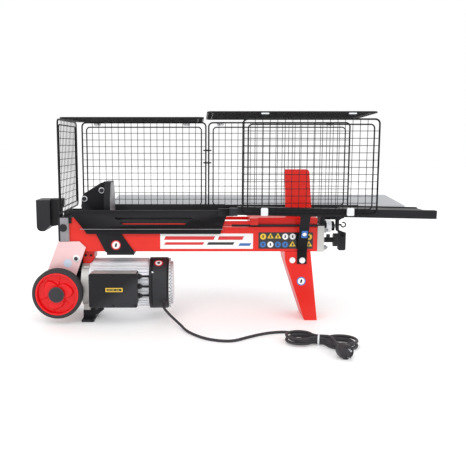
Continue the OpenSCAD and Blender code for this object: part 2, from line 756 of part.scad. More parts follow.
module valve_spool() raise() {
    color("silver") shaft_x(293, 320, beam_y, spool_z, 10);
    color([0.13, 0.13, 0.14]) shaft_x(309, 317, beam_y, spool_z, 22);
}

module start_button() raise() {
    color([0.1, 0.5, 0.2]) shaft_x(-586.5, -572, beam_y, 303, 14);
}

module front_panel() raise() {
    color([0.12, 0.12, 0.13]) standing_panel(front_x0, front_x1, cage_y0, 307, 581);
    color("whitesmoke") for (x = clip_xs)
        box([x - 11, x + 11], [-269, cage_y0 - 1], [306.6, 329]);
}

module top_left_panel() raise() {
    color([0.12, 0.12, 0.13]) translate([-489, cage_y0, lid_z])
        guard_panel(panel_split - 15 + 489, lid_y1 - cage_y0);
}

module top_right_panel() raise() {
    depth = cage_y1 + 2.5 - cage_y0;
    translate([panel_split - 7, cage_y1 + 2.5, lid_right_z]) rotate([-1.6, 0, 0]) translate([0, -depth, 0]) {
        color([0.12, 0.12, 0.13]) guard_panel(481, depth);
        color("whitesmoke") for (x = clip_xs)
            box([x - 4 - panel_split, x + 18 - panel_split], [-3, 6], [-6, -2]);
    }
}

module motor_rotor() raise() {
    x0 = -503 + 8;
    color("gray") difference() {
        union() {
            shaft_x(x0, -196, beam_y, motor_z, 14);
            shaft_x(-410, -275, beam_y, motor_z, 96);
            translate([x0, beam_y, motor_z]) rotate([90, 0, 90]) linear_extrude(16)
                polygon(gear_outline(pump_teeth, gear_gap / 2, 90));
        }
    }
}

module cooling_fan() raise() {
    x0 = -232;
    color("dimgray") difference() {
        union() {
            shaft_x(x0, x0 + 28, beam_y, motor_z, 34);
            for (i = [0:7]) translate([x0 + 3, beam_y, motor_z]) rotate([45 * i, 0, 0])
                translate([0, -1.5, 14]) cube([22, 3, 50]);
        }
        shaft_x(x0 - 1, x0 + 29, beam_y, motor_z, 14.1);
    }
}

module driven_gear() raise() {
    x0 = -503 + 8;
    z = motor_z + gear_gap;
    color("gray") {
        translate([x0, beam_y, z]) rotate([90, 0, 90]) linear_extrude(16)
            polygon(gear_outline(pump_teeth, gear_gap / 2, 270 + 180 / pump_teeth));
        shaft_x(x0 - 5, x0 + 36, beam_y, z, 12);
    }
}

module bleed_screw() raise() {
    color([0.13, 0.13, 0.14]) {
        shaft_x(cap_x1 - 12, 318, beam_y, bleed_z, 10);
        shaft_x(284, 316, beam_y, bleed_z, 16);
        slab_x(315, 328) polygon(round_rect(beam_y - 9, beam_y + 9, bleed_z - 20, bleed_z + 20, 7));
    }
}

function sub3(a, b) = [a[0] - b[0], a[1] - b[1], a[2] - b[2]];
function unit3(v) = v / norm(v);

// Rings of a tube with a given number of sides along a path.
function tube_rings(path, r, sides) = [for (i = [0:len(path) - 1])
    let (a = path[max(i - 1, 0)], b = path[min(i + 1, len(path) - 1)], t = unit3(sub3(b, a)),
        s = unit3(cross(t, [0, 0, 1])), u = cross(s, t))
    for (k = [0:sides - 1]) let (w = 360 * k / sides) path[i] + r * (cos(w) * s + sin(w) * u)];

module tube(path, r, sides) {
    n = len(path);
    polyhedron(points = tube_rings(path, r, sides), faces = concat(
        [[for (k = [0:sides - 1]) k]],
        [for (i = [0:n - 2], k = [0:sides - 1]) let (a = i * sides, k2 = (k + 1) % sides)
            [a + k, a + sides + k, a + sides + k2, a + k2]],
        [[for (k = [sides - 1:-1:0]) (n - 1) * sides + k]]));
}

module cord_lead() {
    color([0.08, 0.08, 0.08]) tube(lead_path, lead_r, 10);
}

// The tied bundle, a bow tie of two lobes.
module cord_hank() {
    color([0.08, 0.08, 0.08]) linear_extrude(hank_h) polygon(concat(arc(174, -417, 38, 50, 295, 10),
        [[219, -444]], arc(279, -447, 44, -150, 135, 12), [[227, -418]]));
}

module cord_plug() {
    color([0.08, 0.08, 0.08]) translate([plug_at[0], plug_at[1], 19]) rotate([0, 0, plug_turn]) {
        shaft_x(0, 18, 0, 0, 16);
        shaft_x(17, 53, 0, 0, 37.6);
        for (s = [-1, 1]) shaft_x(52, 72, 0, s * 9.5, 4.8);
    }
}

main_beam();
left_end_cap();
right_end_cap();
cylinder_barrel();
cylinder_gland();
tie_rods();
wedge();
wedge_base();
wing_near();
wing_far();
frame_bolts();
wheel_brackets();
wheel_axle();
support_leg();
rail_strap();
table_rail();
rail_bracket();
rear_table();
table_arms();
guard_brackets();
end_panel();
rear_left_panel();
rear_right_panel();
panel_clips();
motor_barrel();
motor_flange();
terminal_box();
fan_cowl();
fan_grille();
pump_body();
motor_foot();
switch_box();
valve_block();
cord_relief();
pusher_head();
pusher_block();
pusher_bolts();
guide_plates();
retainer_plate();
slide_bar();
crosshead();
piston_rod();
tyre_near();
rim_near();
tyre_far();
rim_far();
control_lever();
lever_grip();
valve_spool();
start_button();
front_panel();
top_left_panel();
top_right_panel();
motor_rotor();
cooling_fan();
driven_gear();
bleed_screw();
cord_lead();
cord_hank();
cord_plug();
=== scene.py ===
"""Looks of the horizontal electric log splitter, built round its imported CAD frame."""

import math

import bmesh
import bpy
from mathutils import Matrix, Vector


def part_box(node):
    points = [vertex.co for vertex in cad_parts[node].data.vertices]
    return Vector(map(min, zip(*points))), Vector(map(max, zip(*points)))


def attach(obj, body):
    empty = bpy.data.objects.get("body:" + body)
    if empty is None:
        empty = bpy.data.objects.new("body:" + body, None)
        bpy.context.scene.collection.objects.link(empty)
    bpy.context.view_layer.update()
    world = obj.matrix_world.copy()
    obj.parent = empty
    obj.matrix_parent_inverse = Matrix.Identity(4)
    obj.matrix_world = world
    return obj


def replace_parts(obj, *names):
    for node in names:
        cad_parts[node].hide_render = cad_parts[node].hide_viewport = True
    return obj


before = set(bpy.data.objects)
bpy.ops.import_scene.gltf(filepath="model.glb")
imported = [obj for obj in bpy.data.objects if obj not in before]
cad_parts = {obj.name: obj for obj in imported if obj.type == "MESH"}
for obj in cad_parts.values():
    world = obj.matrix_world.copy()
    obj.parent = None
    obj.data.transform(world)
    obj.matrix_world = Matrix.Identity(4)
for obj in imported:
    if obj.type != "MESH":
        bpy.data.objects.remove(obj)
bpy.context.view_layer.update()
MM = 0.001

# Dimensions in millimetres, where a node's box can't give them
BEAM_Y = -138
MOTOR_Z = 106
SPOOL_Z = 282
BLEED_Z = 239
LEG_BOLTS = ((184, 185, -192), (213, 185, -195.2))
BRACKET_BOLT = (-462, 191, -194.2)
PUSHER_BOLTS = ((-385, 393), (-437, 368))
FRAME_WIRE = 5
MESH_WIRE = 1.8
MESH_PITCH = 20
RING_INSET = 15
PANEL_H = {"rear_left_panel": 288, "rear_right_panel": 288, "front_panel": 274}
PANEL_SPLIT = -66
FRONT_CLIPS = (90, 335)
REAR_CLIPS = (-426, -136, -26, 330)
RING_TIE_Z = (469.2, 509.4)
LID_TILT = math.radians(1.6)
LID_DEPTH = 292.5
LID_HINGE = (31.5, 610)
HEAD_FACE = BEAM_Y - 36.1
CAP_FACE = BEAM_Y - 56.3
BRACKET_FACE = BEAM_Y - 56
LABEL_THICK = 0.35
# Local X along Y, local Y up and local Z along X
ACROSS = Matrix(((0, 0, 1, 0), (1, 0, 0, 0), (0, 1, 0, 0), (0, 0, 0, 1)))

# ---------------------------------------------------------------- camera, floor and light
FOCAL_PX = 638.9
FRAME_PX = 466
CAMERA_AT = (-0.0963, -2.0759, 0.5253)
CAMERA_PITCH = math.radians(7.8)
SHIFT_PX = 34.3
SENSOR_MM = 36.0
FLOOR_HALF = 12.0
FLOOR_WHITE = 0.95
FLOOR_ROUGH = 0.6
FLOOR_GLOW = 0.14


def add_camera():
    data = bpy.data.cameras.new("camera")
    data.sensor_width = SENSOR_MM
    data.lens = FOCAL_PX / FRAME_PX * SENSOR_MM
    data.shift_x = SHIFT_PX / FRAME_PX
    camera = bpy.data.objects.new("camera", data)
    camera.location = CAMERA_AT
    camera.rotation_euler = (math.pi / 2 - CAMERA_PITCH, 0, 0)
    bpy.context.scene.collection.objects.link(camera)
    bpy.context.scene.camera = camera


def add_light(name, at, look, size, power):
    data = bpy.data.lights.new(name, "AREA")
    data.shape = "DISK"
    data.size = size
    data.energy = power
    lamp = bpy.data.objects.new(name, data)
    lamp.location = at
    lamp.rotation_euler = (Vector(look) - Vector(at)).to_track_quat("-Z", "Y").to_euler()
    bpy.context.scene.collection.objects.link(lamp)


def add_world():
    world = bpy.data.worlds.new("studio")
    world.use_nodes = True
    background = world.node_tree.nodes["Background"].inputs
    background["Color"].default_value = (1, 1, 1, 1)
    background["Strength"].default_value = 1.0
    bpy.context.scene.world = world


def add_floor():
    mesh = bpy.data.meshes.new("floor")
    r = FLOOR_HALF
    mesh.from_pydata([(-r, -r, 0), (r, -r, 0), (r, r, 0), (-r, r, 0)], [], [(0, 1, 2, 3)])
    floor = bpy.data.objects.new("floor", mesh)
    bpy.context.scene.collection.objects.link(floor)
    mat = bpy.data.materials.new("floor")
    mat.use_nodes = True
    shader = mat.node_tree.nodes["Principled BSDF"].inputs
    shader["Base Color"].default_value = (FLOOR_WHITE, FLOOR_WHITE, FLOOR_WHITE, 1)
    shader["Roughness"].default_value = FLOOR_ROUGH
    shader["Emission Color"].default_value = (1, 1, 1, 1)
    shader["Emission Strength"].default_value = FLOOR_GLOW
    mesh.materials.append(mat)


bpy.context.scene.view_settings.view_transform = "Standard"
add_camera()
add_light("key", (-1.3, -2.6, 2.7), (0, -0.1, 0.2), 1.8, 26)
add_light("fill", (1.9, -2.2, 1.5), (0, -0.1, 0.25), 1.8, 10)
add_light("back", (0.2, 2.4, 2.4), (0, 0, 0.3), 2.0, 14)
add_world()
add_floor()


# ---------------------------------------------------------------- materials
GAMMA = 2.2
COAT_ROUGH = 0.12
CLOUD_SCALE = 14.0
GLOSS_SPREAD = 0.07
LEAST_ROUGH = 0.02
RELIEF_DEPTH = 0.0006


def linear(rgb):
    return tuple((c / 255) ** GAMMA for c in rgb) + (1,)


def add_node(tree, kind, **sockets):
    made = tree.nodes.new(kind)
    for name, value in sockets.items():
        made.inputs[name.replace("_", " ")].default_value = value
    return made


def material(name, rgb, rough, metallic=0.0, mottle=0.08, grain=400.0, bump=0.05, coat=0.0, wear=None,
             brushed=(1, 1, 1), specular=0.5):
    """A finish with mottled colour, uneven gloss and fine relief. wear is the colour of convex edges, and
    brushed stretches the grain."""
    mat = bpy.data.materials.new(name)
    mat.use_nodes = True
    tree = mat.node_tree
    link = tree.links.new
    bsdf = tree.nodes["Principled BSDF"]
    bsdf.inputs["Metallic"].default_value = metallic
    bsdf.inputs["Coat Weight"].default_value = coat
    bsdf.inputs["Coat Roughness"].default_value = COAT_ROUGH
    bsdf.inputs["Specular IOR Level"].default_value = specular
    where = tree.nodes.new("ShaderNodeTexCoord")
    stretch = tree.nodes.new("ShaderNodeMapping")
    stretch.inputs["Scale"].default_value = brushed
    link(where.outputs["Object"], stretch.inputs["Vector"])
    clouds = add_node(tree, "ShaderNodeTexNoise", Scale=CLOUD_SCALE, Detail=5.0, Roughness=0.6)
    link(where.outputs["Object"], clouds.inputs["Vector"])
    fine = add_node(tree, "ShaderNodeTexNoise", Scale=grain, Detail=3.0, Roughness=0.55)
    link(stretch.outputs["Vector"], fine.inputs["Vector"])
    ramp = tree.nodes.new("ShaderNodeValToRGB")
    ramp.color_ramp.elements[0].position = 0.3
    ramp.color_ramp.elements[1].position = 0.7
    base = linear(rgb)[:3]
    ramp.color_ramp.elements[0].color = tuple(c * (1 - mottle) for c in base) + (1,)
    ramp.color_ramp.elements[1].color = tuple(min(1.0, c * (1 + mottle) + 0.01 * mottle) for c in base) + (1,)
    link(clouds.outputs["Fac"], ramp.inputs["Fac"])
    colour = ramp.outputs["Color"]
    if wear:
        edge = tree.nodes.new("ShaderNodeNewGeometry")
        sharp = add_node(tree, "ShaderNodeMapRange", From_Min=0.52, From_Max=0.6, To_Min=0.0, To_Max=0.55)
        link(edge.outputs["Pointiness"], sharp.inputs["Value"])
        mix = tree.nodes.new("ShaderNodeMix")
        mix.data_type = "RGBA"
        link(sharp.outputs["Result"], mix.inputs["Factor"])
        link(colour, mix.inputs[6])
        mix.inputs[7].default_value = linear(wear)
        colour = mix.outputs[2]
    link(colour, bsdf.inputs["Base Color"])
    gloss = add_node(tree, "ShaderNodeMapRange", From_Min=0.25, From_Max=0.75,
                     To_Min=max(LEAST_ROUGH, rough - GLOSS_SPREAD), To_Max=rough + GLOSS_SPREAD)
    link(clouds.outputs["Fac"], gloss.inputs["Value"])
    link(gloss.outputs["Result"], bsdf.inputs["Roughness"])
    relief = add_node(tree, "ShaderNodeBump", Strength=bump, Distance=RELIEF_DEPTH)
    link(fine.outputs["Fac"], relief.inputs["Height"])
    link(relief.outputs["Normal"], bsdf.inputs["Normal"])
    return mat


# name: colour, roughness, and what else sets it apart
FINISHES = {
    "red_paint": ((216, 22, 13), 0.34, dict(mottle=0.05, bump=0.06, coat=0.08, wear=(232, 70, 58),
                                            specular=0.25)),
    # Pale pink in place of the brackets' red paint: a painted reflection of the light on that paint
    "bracket_painted_reflection": ((236, 196, 198), 0.34, dict(metallic=0.1, mottle=0.05, bump=0.05, coat=0.2,
                                                  specular=0.35)),
    "black_paint": ((18, 18, 21), 0.42, dict(mottle=0.14, bump=0.10, wear=(60, 61, 65), specular=0.14)),
    "pusher_paint": ((16, 16, 19), 0.46, dict(mottle=0.16, bump=0.14, wear=(64, 65, 69), specular=0.14)),
    "wire_coat": ((20, 20, 22), 0.4, dict(mottle=0.12, grain=900, bump=0.05, specular=0.2)),
    "cast_alloy": ((194, 192, 189), 0.46, dict(metallic=0.45, mottle=0.1, grain=260, bump=0.3)),
    "motor_alloy": ((238, 240, 244), 0.42, dict(metallic=0.12, mottle=0.05, grain=300, bump=0.12,
                                                specular=0.4)),
    "steel": ((150, 152, 156), 0.36, dict(metallic=0.9, mottle=0.1, bump=0.08)),
    "machined_steel": ((186, 188, 192), 0.28, dict(metallic=0.95, mottle=0.06, grain=700, bump=0.12,
                                                   brushed=(1, 30, 30))),
    "chrome_rod": ((214, 216, 220), 0.1, dict(metallic=1.0, mottle=0.03, grain=700, bump=0.02)),
    "galvanised": ((172, 174, 178), 0.62, dict(metallic=0.05, mottle=0.05, grain=60, bump=0.05,
                                               specular=0.2)),
    "black_plastic": ((26, 26, 29), 0.5, dict(mottle=0.08, grain=900, bump=0.16, wear=(64, 65, 69),
                                              specular=0.25)),
    "grey_plastic": ((52, 52, 56), 0.48, dict(mottle=0.07, grain=900, bump=0.12, wear=(90, 91, 95),
                                              specular=0.3)),
    "white_plastic": ((220, 223, 226), 0.4, dict(mottle=0.03, grain=900, bump=0.08, specular=0.3)),
    "red_plastic": ((222, 16, 24), 0.3, dict(mottle=0.04, grain=900, bump=0.06, coat=0.1,
                                             wear=(240, 84, 84), specular=0.3)),
    "green_plastic": ((30, 130, 62), 0.35, dict(mottle=0.05, grain=900, bump=0.06)),
    "tyre_rubber": ((58, 57, 59), 0.68, dict(mottle=0.12, grain=700, bump=0.3, specular=0.25)),
    "cable_rubber": ((56, 54, 57), 0.5, dict(mottle=0.1, grain=900, bump=0.14, specular=0.3)),
    "label_pale": ((200, 214, 232), 0.3, dict(mottle=0.05, bump=0.03, coat=0.4)),
    # A worn steel grey, also used as painted highlight on the near wing's fold and the pusher's lit face
    "worn_edge_and_painted_highlight": ((140, 138, 142), 0.35, dict(metallic=0.4, mottle=0.2, bump=0.05)),
    "label_white": ((238, 238, 238), 0.35, dict(mottle=0.02, bump=0.03, coat=0.3)),
    "label_black": ((28, 28, 30), 0.35, dict(mottle=0.05, bump=0.03, coat=0.3)),
    "label_red": ((206, 30, 34), 0.35, dict(mottle=0.04, bump=0.03, coat=0.3)),
    "label_blue": ((44, 104, 176), 0.35, dict(mottle=0.04, bump=0.03, coat=0.3)),
    "label_yellow": ((232, 190, 40), 0.35, dict(mottle=0.04, bump=0.03, coat=0.3)),
}
FINISH = {name: material(name, rgb, rough, **more) for name, (rgb, rough, more) in FINISHES.items()}


# ---------------------------------------------------------------- mesh helpers
def bm_object(name, bm, finish, body, smooth=35):
    """Turns a bmesh, in metres, into a piece with its finish that rides on a body."""
    mesh = bpy.data.meshes.new(name)
    bmesh.ops.recalc_face_normals(bm, faces=bm.faces)
    for edge in bm.edges:
        if len(edge.link_faces) == 2:
            edge.smooth = edge.calc_face_angle(0) < math.radians(smooth)
    for face in bm.faces:
        face.smooth = True
    bm.to_mesh(mesh)
    bm.free()
    mesh.materials.append(FINISH[finish])
    obj = bpy.data.objects.new(name, mesh)
    bpy.context.scene.collection.objects.link(obj)
    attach(obj, body)
    return obj


WELD = 2e-5
FLAT_WITHIN = math.radians(1.2)
SHARP_FROM = math.radians(28)
SHORTEST_EDGE = 0.0005
BEVEL_PROFILE = 0.6


def refined(node, finish, body, bevel, segments=2):
    """A piece made from a CAD node's own shape, with its sharp edges rounded off."""
    bm = bmesh.new()
    bm.from_mesh(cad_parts[node].data)
    bmesh.ops.remove_doubles(bm, verts=bm.verts, dist=WELD)
    bmesh.ops.dissolve_limit(bm, angle_limit=FLAT_WITHIN, verts=bm.verts, edges=bm.edges)
    sharp = [e for e in bm.edges if len(e.link_faces) == 2 and e.calc_face_angle(0) > SHARP_FROM
             and e.calc_length() > SHORTEST_EDGE]
    bmesh.ops.bevel(bm, geom=sharp, offset=bevel * MM, segments=segments, profile=BEVEL_PROFILE,
                    affect="EDGES", clamp_overlap=True)
    piece = bm_object(node + "_piece", bm, finish, body, smooth=40)
    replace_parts(piece, node)
    piece.modifiers.new("even_normals", "WEIGHTED_NORMAL").keep_sharp = True


def sweep(bm, points, radius, sides=10, closed=False):
    """A round wire along points, in millimetres; its frame is carried along so that it doesn't twist."""
    pts = [Vector(p) for p in points]
    n = len(pts)
    tangents = []
    for i in range(n):
        a = pts[(i - 1) % n] if closed or i else pts[i]
        b = pts[(i + 1) % n] if closed or i < n - 1 else pts[i]
        tangents.append((b - a).normalized())
    side = tangents[0].orthogonal().normalized()
    rings = []
    for p, t in zip(pts, tangents):
        side = (side - t * side.dot(t)).normalized()
        up = t.cross(side)
        rings.append([bm.verts.new((p + radius * (math.cos(a) * side + math.sin(a) * up)) * MM)
                      for a in (2 * math.pi * k / sides for k in range(sides))])
    for i in range(n if closed else n - 1):
        first, second = rings[i], rings[(i + 1) % n]
        shift = 0
        if closed and i == n - 1:
            shift = min(range(sides), key=lambda s: (second[s].co - first[0].co).length)
        for k in range(sides):
            bm.faces.new((first[k], first[(k + 1) % sides], second[(k + 1 + shift) % sides],
                          second[(k + shift) % sides]))
    if not closed:
        bm.faces.new(list(reversed(rings[0])))
        bm.faces.new(rings[-1])


def lathe(bm, profile, place, steps=64, closed=True):
    """Turns a profile of (radius, height) in millimetres round the local Z of a placing matrix."""
    rings = []
    for r, h in profile:
        if r == 0:
            rings.append([bm.verts.new(place @ Vector((0, 0, h)) * MM)])
        else:
            rings.append([bm.verts.new(place @ Vector((r * math.cos(a), r * math.sin(a), h)) * MM)
                          for a in (2 * math.pi * k / steps for k in range(steps))])
    pairs = list(zip(rings, rings[1:] + rings[:1])) if closed else list(zip(rings, rings[1:]))
    for a, b in pairs:
        if len(a) == 1 and len(b) == 1:
            continue
        for k in range(steps):
            k2 = (k + 1) % steps
            if len(a) == 1:
                bm.faces.new((a[0], b[k2], b[k]))
            elif len(b) == 1:
                bm.faces.new((a[k], a[k2], b[0]))
            else:
                bm.faces.new((a[k], a[k2], b[k2], b[k]))


def prism(bm, outline, place, height, bevel=0.0):
    """An extruded outline on the local XY of a placing matrix, its edges rounded by bevel."""
    low = [bm.verts.new(place @ Vector((x, y, 0)) * MM) for x, y in outline]
    high = [bm.verts.new(place @ Vector((x, y, height)) * MM) for x, y in outline]
    n = len(outline)
    faces = [bm.faces.new(list(reversed(low))), bm.faces.new(high)]
    faces += [bm.faces.new((low[i], low[(i + 1) % n], high[(i + 1) % n], high[i])) for i in range(n)]
    if bevel:
        edges = {e for f in faces for e in f.edges}
        bmesh.ops.bevel(bm, geom=list(edges), offset=bevel * MM, segments=2, profile=BEVEL_PROFILE,
                        affect="EDGES", clamp_overlap=True)


def arc(cx, cy, r, a0, a1, n):
    return [(cx + r * math.cos(math.radians(a0 + (a1 - a0) * i / n)),
             cy + r * math.sin(math.radians(a0 + (a1 - a0) * i / n))) for i in range(n + 1)]


def round_rect(x0, x1, y0, y1, r, n=6):
    return (arc(x1 - r, y1 - r, r, 0, 90, n) + arc(x0 + r, y1 - r, r, 90, 180, n)
            + arc(x0 + r, y0 + r, r, 180, 270, n) + arc(x1 - r, y0 + r, r, 270, 360, n))


def disc(r, n=40):
    return [(r * math.cos(2 * math.pi * i / n), r * math.sin(2 * math.pi * i / n)) for i in range(n)]


def hexagon(across):
    r = across / math.sqrt(3)
    return [(r * math.cos(math.pi / 3 * i), r * math.sin(math.pi / 3 * i)) for i in range(6)]


def facing_near(x, y, z, turn=0):
    """A local frame at a point whose Z looks towards the loading side, with its X along the beam."""
    return (Matrix.Translation((x, y, z)) @ Matrix.Rotation(math.pi / 2, 4, "X")
            @ Matrix.Rotation(math.radians(turn), 4, "Z"))


def facing_far(x, y, z):
    """A local frame whose Z looks towards the table's side, with its X along the beam."""
    return Matrix.Translation((x, y, z)) @ Matrix.Rotation(-math.pi / 2, 4, "X")


def facing_right(x, y, z):
    """A local frame whose Z looks along +X."""
    return Matrix.Translation((x, y, z)) @ Matrix.Rotation(math.pi / 2, 4, "Y")


def facing_up(x, y, z):
    return Matrix.Translation((x, y, z))


def lifted(place, up):
    """The same frame, moved along its own Z."""
    return place @ Matrix.Translation((0, 0, up))


def looking(at, out):
    """A local frame at a point whose Z looks along a direction."""
    return Matrix.Translation(at) @ out.to_track_quat("Z", "Y").to_matrix().to_4x4()


def off_motor(x, r, a):
    """A point at a radius and an angle round the motor's axis, and the direction outwards there."""
    out = Vector((0, -math.cos(a), math.sin(a)))
    return Vector((x, BEAM_Y, MOTOR_Z)) + r * out, out


def mm_box(node):
    """A node's lowest and highest corners, in millimetres."""
    lo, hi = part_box(node)
    return [c / MM for c in lo], [c / MM for c in hi]


# ---------------------------------------------------------------- bolts and screws
def hex_bolt(bm, place, d, shank):
    """A washer, a chamfered hexagon head and, below them, a shank."""
    lathe(bm, [(0, 0), (d * 1.1, 0), (d * 1.1, 1.2), (d * 1.02, 1.6), (0, 1.6)], place, 36, closed=False)
    prism(bm, hexagon(d * 1.6), lifted(place, 1.6), d * 0.6, bevel=0.5)
    lathe(bm, [(0, 0), (d / 2, 0), (d / 2, -shank + 0.6), (d / 2 - 0.6, -shank), (0, -shank)], place, 24,
          closed=False)


def cap_screw(bm, place, r, height):
    """A round-headed screw with a round recess."""
    lathe(bm, [(0, 0), (r, 0), (r, height * 0.6), (r * 0.86, height), (r * 0.5, height),
               (r * 0.46, height * 0.35), (0, height * 0.35)], place, 28, closed=False)


def add_frame_bolts():
    bm = bmesh.new()
    for x, z, y in LEG_BOLTS:
        hex_bolt(bm, facing_near(x, y, z, 10), 8, 13.5)
    x, z, y = BRACKET_BOLT
    hex_bolt(bm, facing_near(x, y, z, 25), 8, 5.4)
    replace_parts(bm_object("frame_bolts_piece", bm, "motor_alloy", "frame"), "frame_bolts")
    label("bracket_bolt_ring", disc(10.6), facing_near(x, -194, z), "label_white", "frame", 0.15)
    label("bracket_bolt_cap", hexagon(11), facing_near(x, y - 6.4, z, 25), "label_black", "frame", 0.5)


def add_pusher_bolts():
    bm = bmesh.new()
    for x, z in PUSHER_BOLTS:
        for place in (facing_near(x, HEAD_FACE, z), facing_far(x, 2 * BEAM_Y - HEAD_FACE, z)):
            lathe(bm, [(5.2, 0), (8.5, 0), (8.5, 1.3), (8.1, 1.8), (5.2, 1.8)], place, 36)
            cap_screw(bm, lifted(place, 1.8), 6.4, 5.8)
        sweep(bm, [(x, BEAM_Y - 37, z), (x, BEAM_Y + 37, z)], 5, 24)
    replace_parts(bm_object("pusher_bolts_piece", bm, "machined_steel", "pusher"), "pusher_bolts")
    for k, (x, z) in enumerate(PUSHER_BOLTS):
        washer = HEAD_FACE + 0.05
        label("pusher_washer_%d" % k, disc(8.6), facing_near(x, washer, z), "motor_alloy", "pusher", 1.9)
        label("pusher_bolt_cap_%d" % k, disc(6.4), facing_near(x, washer - 1.9, z), "black_plastic", "pusher",
              6.2)
    # A lighter worn-steel plate on the pusher head's +X face: a painted highlight where that face is lit
    right_side = [(48, 312), (58, 332), (58, 369), (36, 416)]
    left_side = [(-y, z) for y, z in reversed(right_side)]
    hi = mm_box("pusher_head")[1]
    label("pusher_face_painted_highlight", left_side[-1:] + right_side + left_side[:-1],
          Matrix.Translation((hi[0], BEAM_Y, 0)) @ ACROSS, "worn_edge_and_painted_highlight", "pusher", 0.4)


# ---------------------------------------------------------------- guard cage
def wire_panel(bm, w, h, place):
    """A welded panel on local XY: an outer and an inner frame wire, and two layers of mesh wire."""
    def ring(inset, r, radius):
        outline = round_rect(inset, w - inset, inset, h - inset, r, 7)
        sweep(bm, [place @ Vector((x, y, 0)) for x, y in outline], radius, 12, closed=True)

    half = FRAME_WIRE / 2
    ring(half, 13, half)
    ring(RING_INSET + 2, 11, 2)
    columns = math.floor((w - 2 * RING_INSET) / MESH_PITCH)
    rows = math.floor((h - 2 * RING_INSET) / MESH_PITCH)
    lift = MESH_WIRE / 2 + 0.05
    for i in range(1, columns):
        u = RING_INSET + (w - 2 * RING_INSET) * i / columns
        sweep(bm, [place @ Vector((u, v, lift)) for v in (half, h - half)], MESH_WIRE / 2, 8)
    for j in range(1, rows):
        v = RING_INSET + (h - 2 * RING_INSET) * j / rows
        sweep(bm, [place @ Vector((u, v, -lift)) for u in (half, w - half)], MESH_WIRE / 2, 8)


def clip(bm, place, w, h, t):
    """A moulded clip: a rounded block with a snap groove across it."""
    prism(bm, round_rect(-w / 2, w / 2, 0, h, min(3, h / 3)), place, t, bevel=0.9)
    prism(bm, round_rect(-w / 2 + 2.5, w / 2 - 2.5, h * 0.3, h * 0.55, 1), lifted(place, t), 0.5, bevel=0.2)


def add_standing_panel(node, body):
    """A panel that hangs from the top of its node's box; the far side of its frame wire lies on the box."""
    lo, hi = mm_box(node)
    bm = bmesh.new()
    y = hi[1] - FRAME_WIRE / 2
    bottom = hi[2] - PANEL_H[node]
    wire_panel(bm, hi[0] - lo[0], PANEL_H[node], facing_near(lo[0], y, bottom))
    piece = bm_object(node + "_wires", bm, "wire_coat", body, smooth=50)
    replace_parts(piece, node)
    return y


def add_cage():
    add_standing_panel("rear_left_panel", "frame")
    add_standing_panel("rear_right_panel", "frame")
    y = add_standing_panel("front_panel", "front_guard")
    bm = bmesh.new()
    for x in FRONT_CLIPS:
        clip(bm, facing_near(x + 1, y - 1, 326.6), 20, 22.4, 6.4)
    bm_object("front_panel_clips", bm, "white_plastic", "front_guard")
    label("rear_bar_edge", round_rect(-455, 430, 325, 331, 1), facing_near(0, 25.9, 0), "black_paint",
          "frame", 1.6)

    lo, hi = mm_box("end_panel")
    bm = bmesh.new()
    standing = Matrix.Translation(((lo[0] + hi[0]) / 2, lo[1], lo[2])) @ ACROSS
    wire_panel(bm, hi[1] - lo[1], hi[2] - lo[2], standing)
    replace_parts(bm_object("end_panel_wires", bm, "wire_coat", "frame", smooth=50), "end_panel")

    lo, hi = mm_box("top_left_panel")
    bm = bmesh.new()
    wire_panel(bm, hi[0] - lo[0], hi[1] - lo[1], facing_up(lo[0], lo[1], (lo[2] + hi[2]) / 2))
    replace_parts(bm_object("top_left_wires", bm, "wire_coat", "left_lid", smooth=50), "top_left_panel")

    lo, hi = mm_box("top_right_panel")
    tilted = (Matrix.Translation((lo[0],) + LID_HINGE) @ Matrix.Rotation(-LID_TILT, 4, "X")
              @ Matrix.Translation((0, -LID_DEPTH, 0)))
    bm = bmesh.new()
    wire_panel(bm, hi[0] - lo[0], LID_DEPTH, tilted)
    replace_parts(bm_object("top_right_wires", bm, "wire_coat", "right_lid", smooth=50), "top_right_panel")
    bm = bmesh.new()
    for x in FRONT_CLIPS:
        under = tilted @ Matrix.Translation((x - lo[0], -3, -2.2)) @ Matrix.Rotation(math.pi, 4, "Y")
        clip(bm, under, 22, 9, 3.4)
    bm_object("top_right_clips", bm, "white_plastic", "right_lid")


def add_panel_clips():
    bm = bmesh.new()
    top = mm_box("rear_left_panel")[1][2]
    for x in REAR_CLIPS:
        clip(bm, facing_far(x, 31.9, top), 22, 12, 3.1)
    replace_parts(bm_object("panel_clips_piece", bm, "white_plastic", "frame"), "panel_clips")
    bm = bmesh.new()
    r = 13.2
    for z in RING_TIE_Z:
        sweep(bm, [(PANEL_SPLIT - 2.25 + r * math.cos(a), 29 + r * math.sin(a), z + 1.2 * math.sin(a))
                   for a in (math.pi * i / 16 for i in range(32))], 1.3, 8, closed=True)
    bm_object("panel_ring_ties", bm, "wire_coat", "frame", smooth=60)


# ---------------------------------------------------------------- wheels
def step(v, edge, soft):
    """Eases from 0 to 1 as v passes an edge."""
    t = max(0.0, min(1.0, (v - edge) / soft + 0.5))
    return t * t * (3 - 2 * t)


def tyre_profile(r, w):
    """Half round shoulders and a tread with shallow grooves round it."""
    inner = [(r - 10.9, -13), (r - 9, -w + 0.4), (r - 7.5, -w)]
    outer = arc(r - 4.5, -w + 4.5, 4.5, -90, -12, 6)
    tread = []
    for groove in (4.6 * k for k in (-2, -1, 0, 1, 2)):
        tread += [(r - 0.05, groove - 1.4), (r - 1.1, groove - 0.7), (r - 1.1, groove + 0.7),
                  (r - 0.05, groove + 1.4)]
    back = [(x - 3.2, -y) for x, y in outer][::-1]
    return inner + outer + tread + back + [(r - 7.5, w), (r - 9, w - 0.4), (r - 10.9, 13)]


RIM_HALF = 15
TYRE_HALF = 16
TYRE_DEEP = 11
HUB_BORE = 8.05


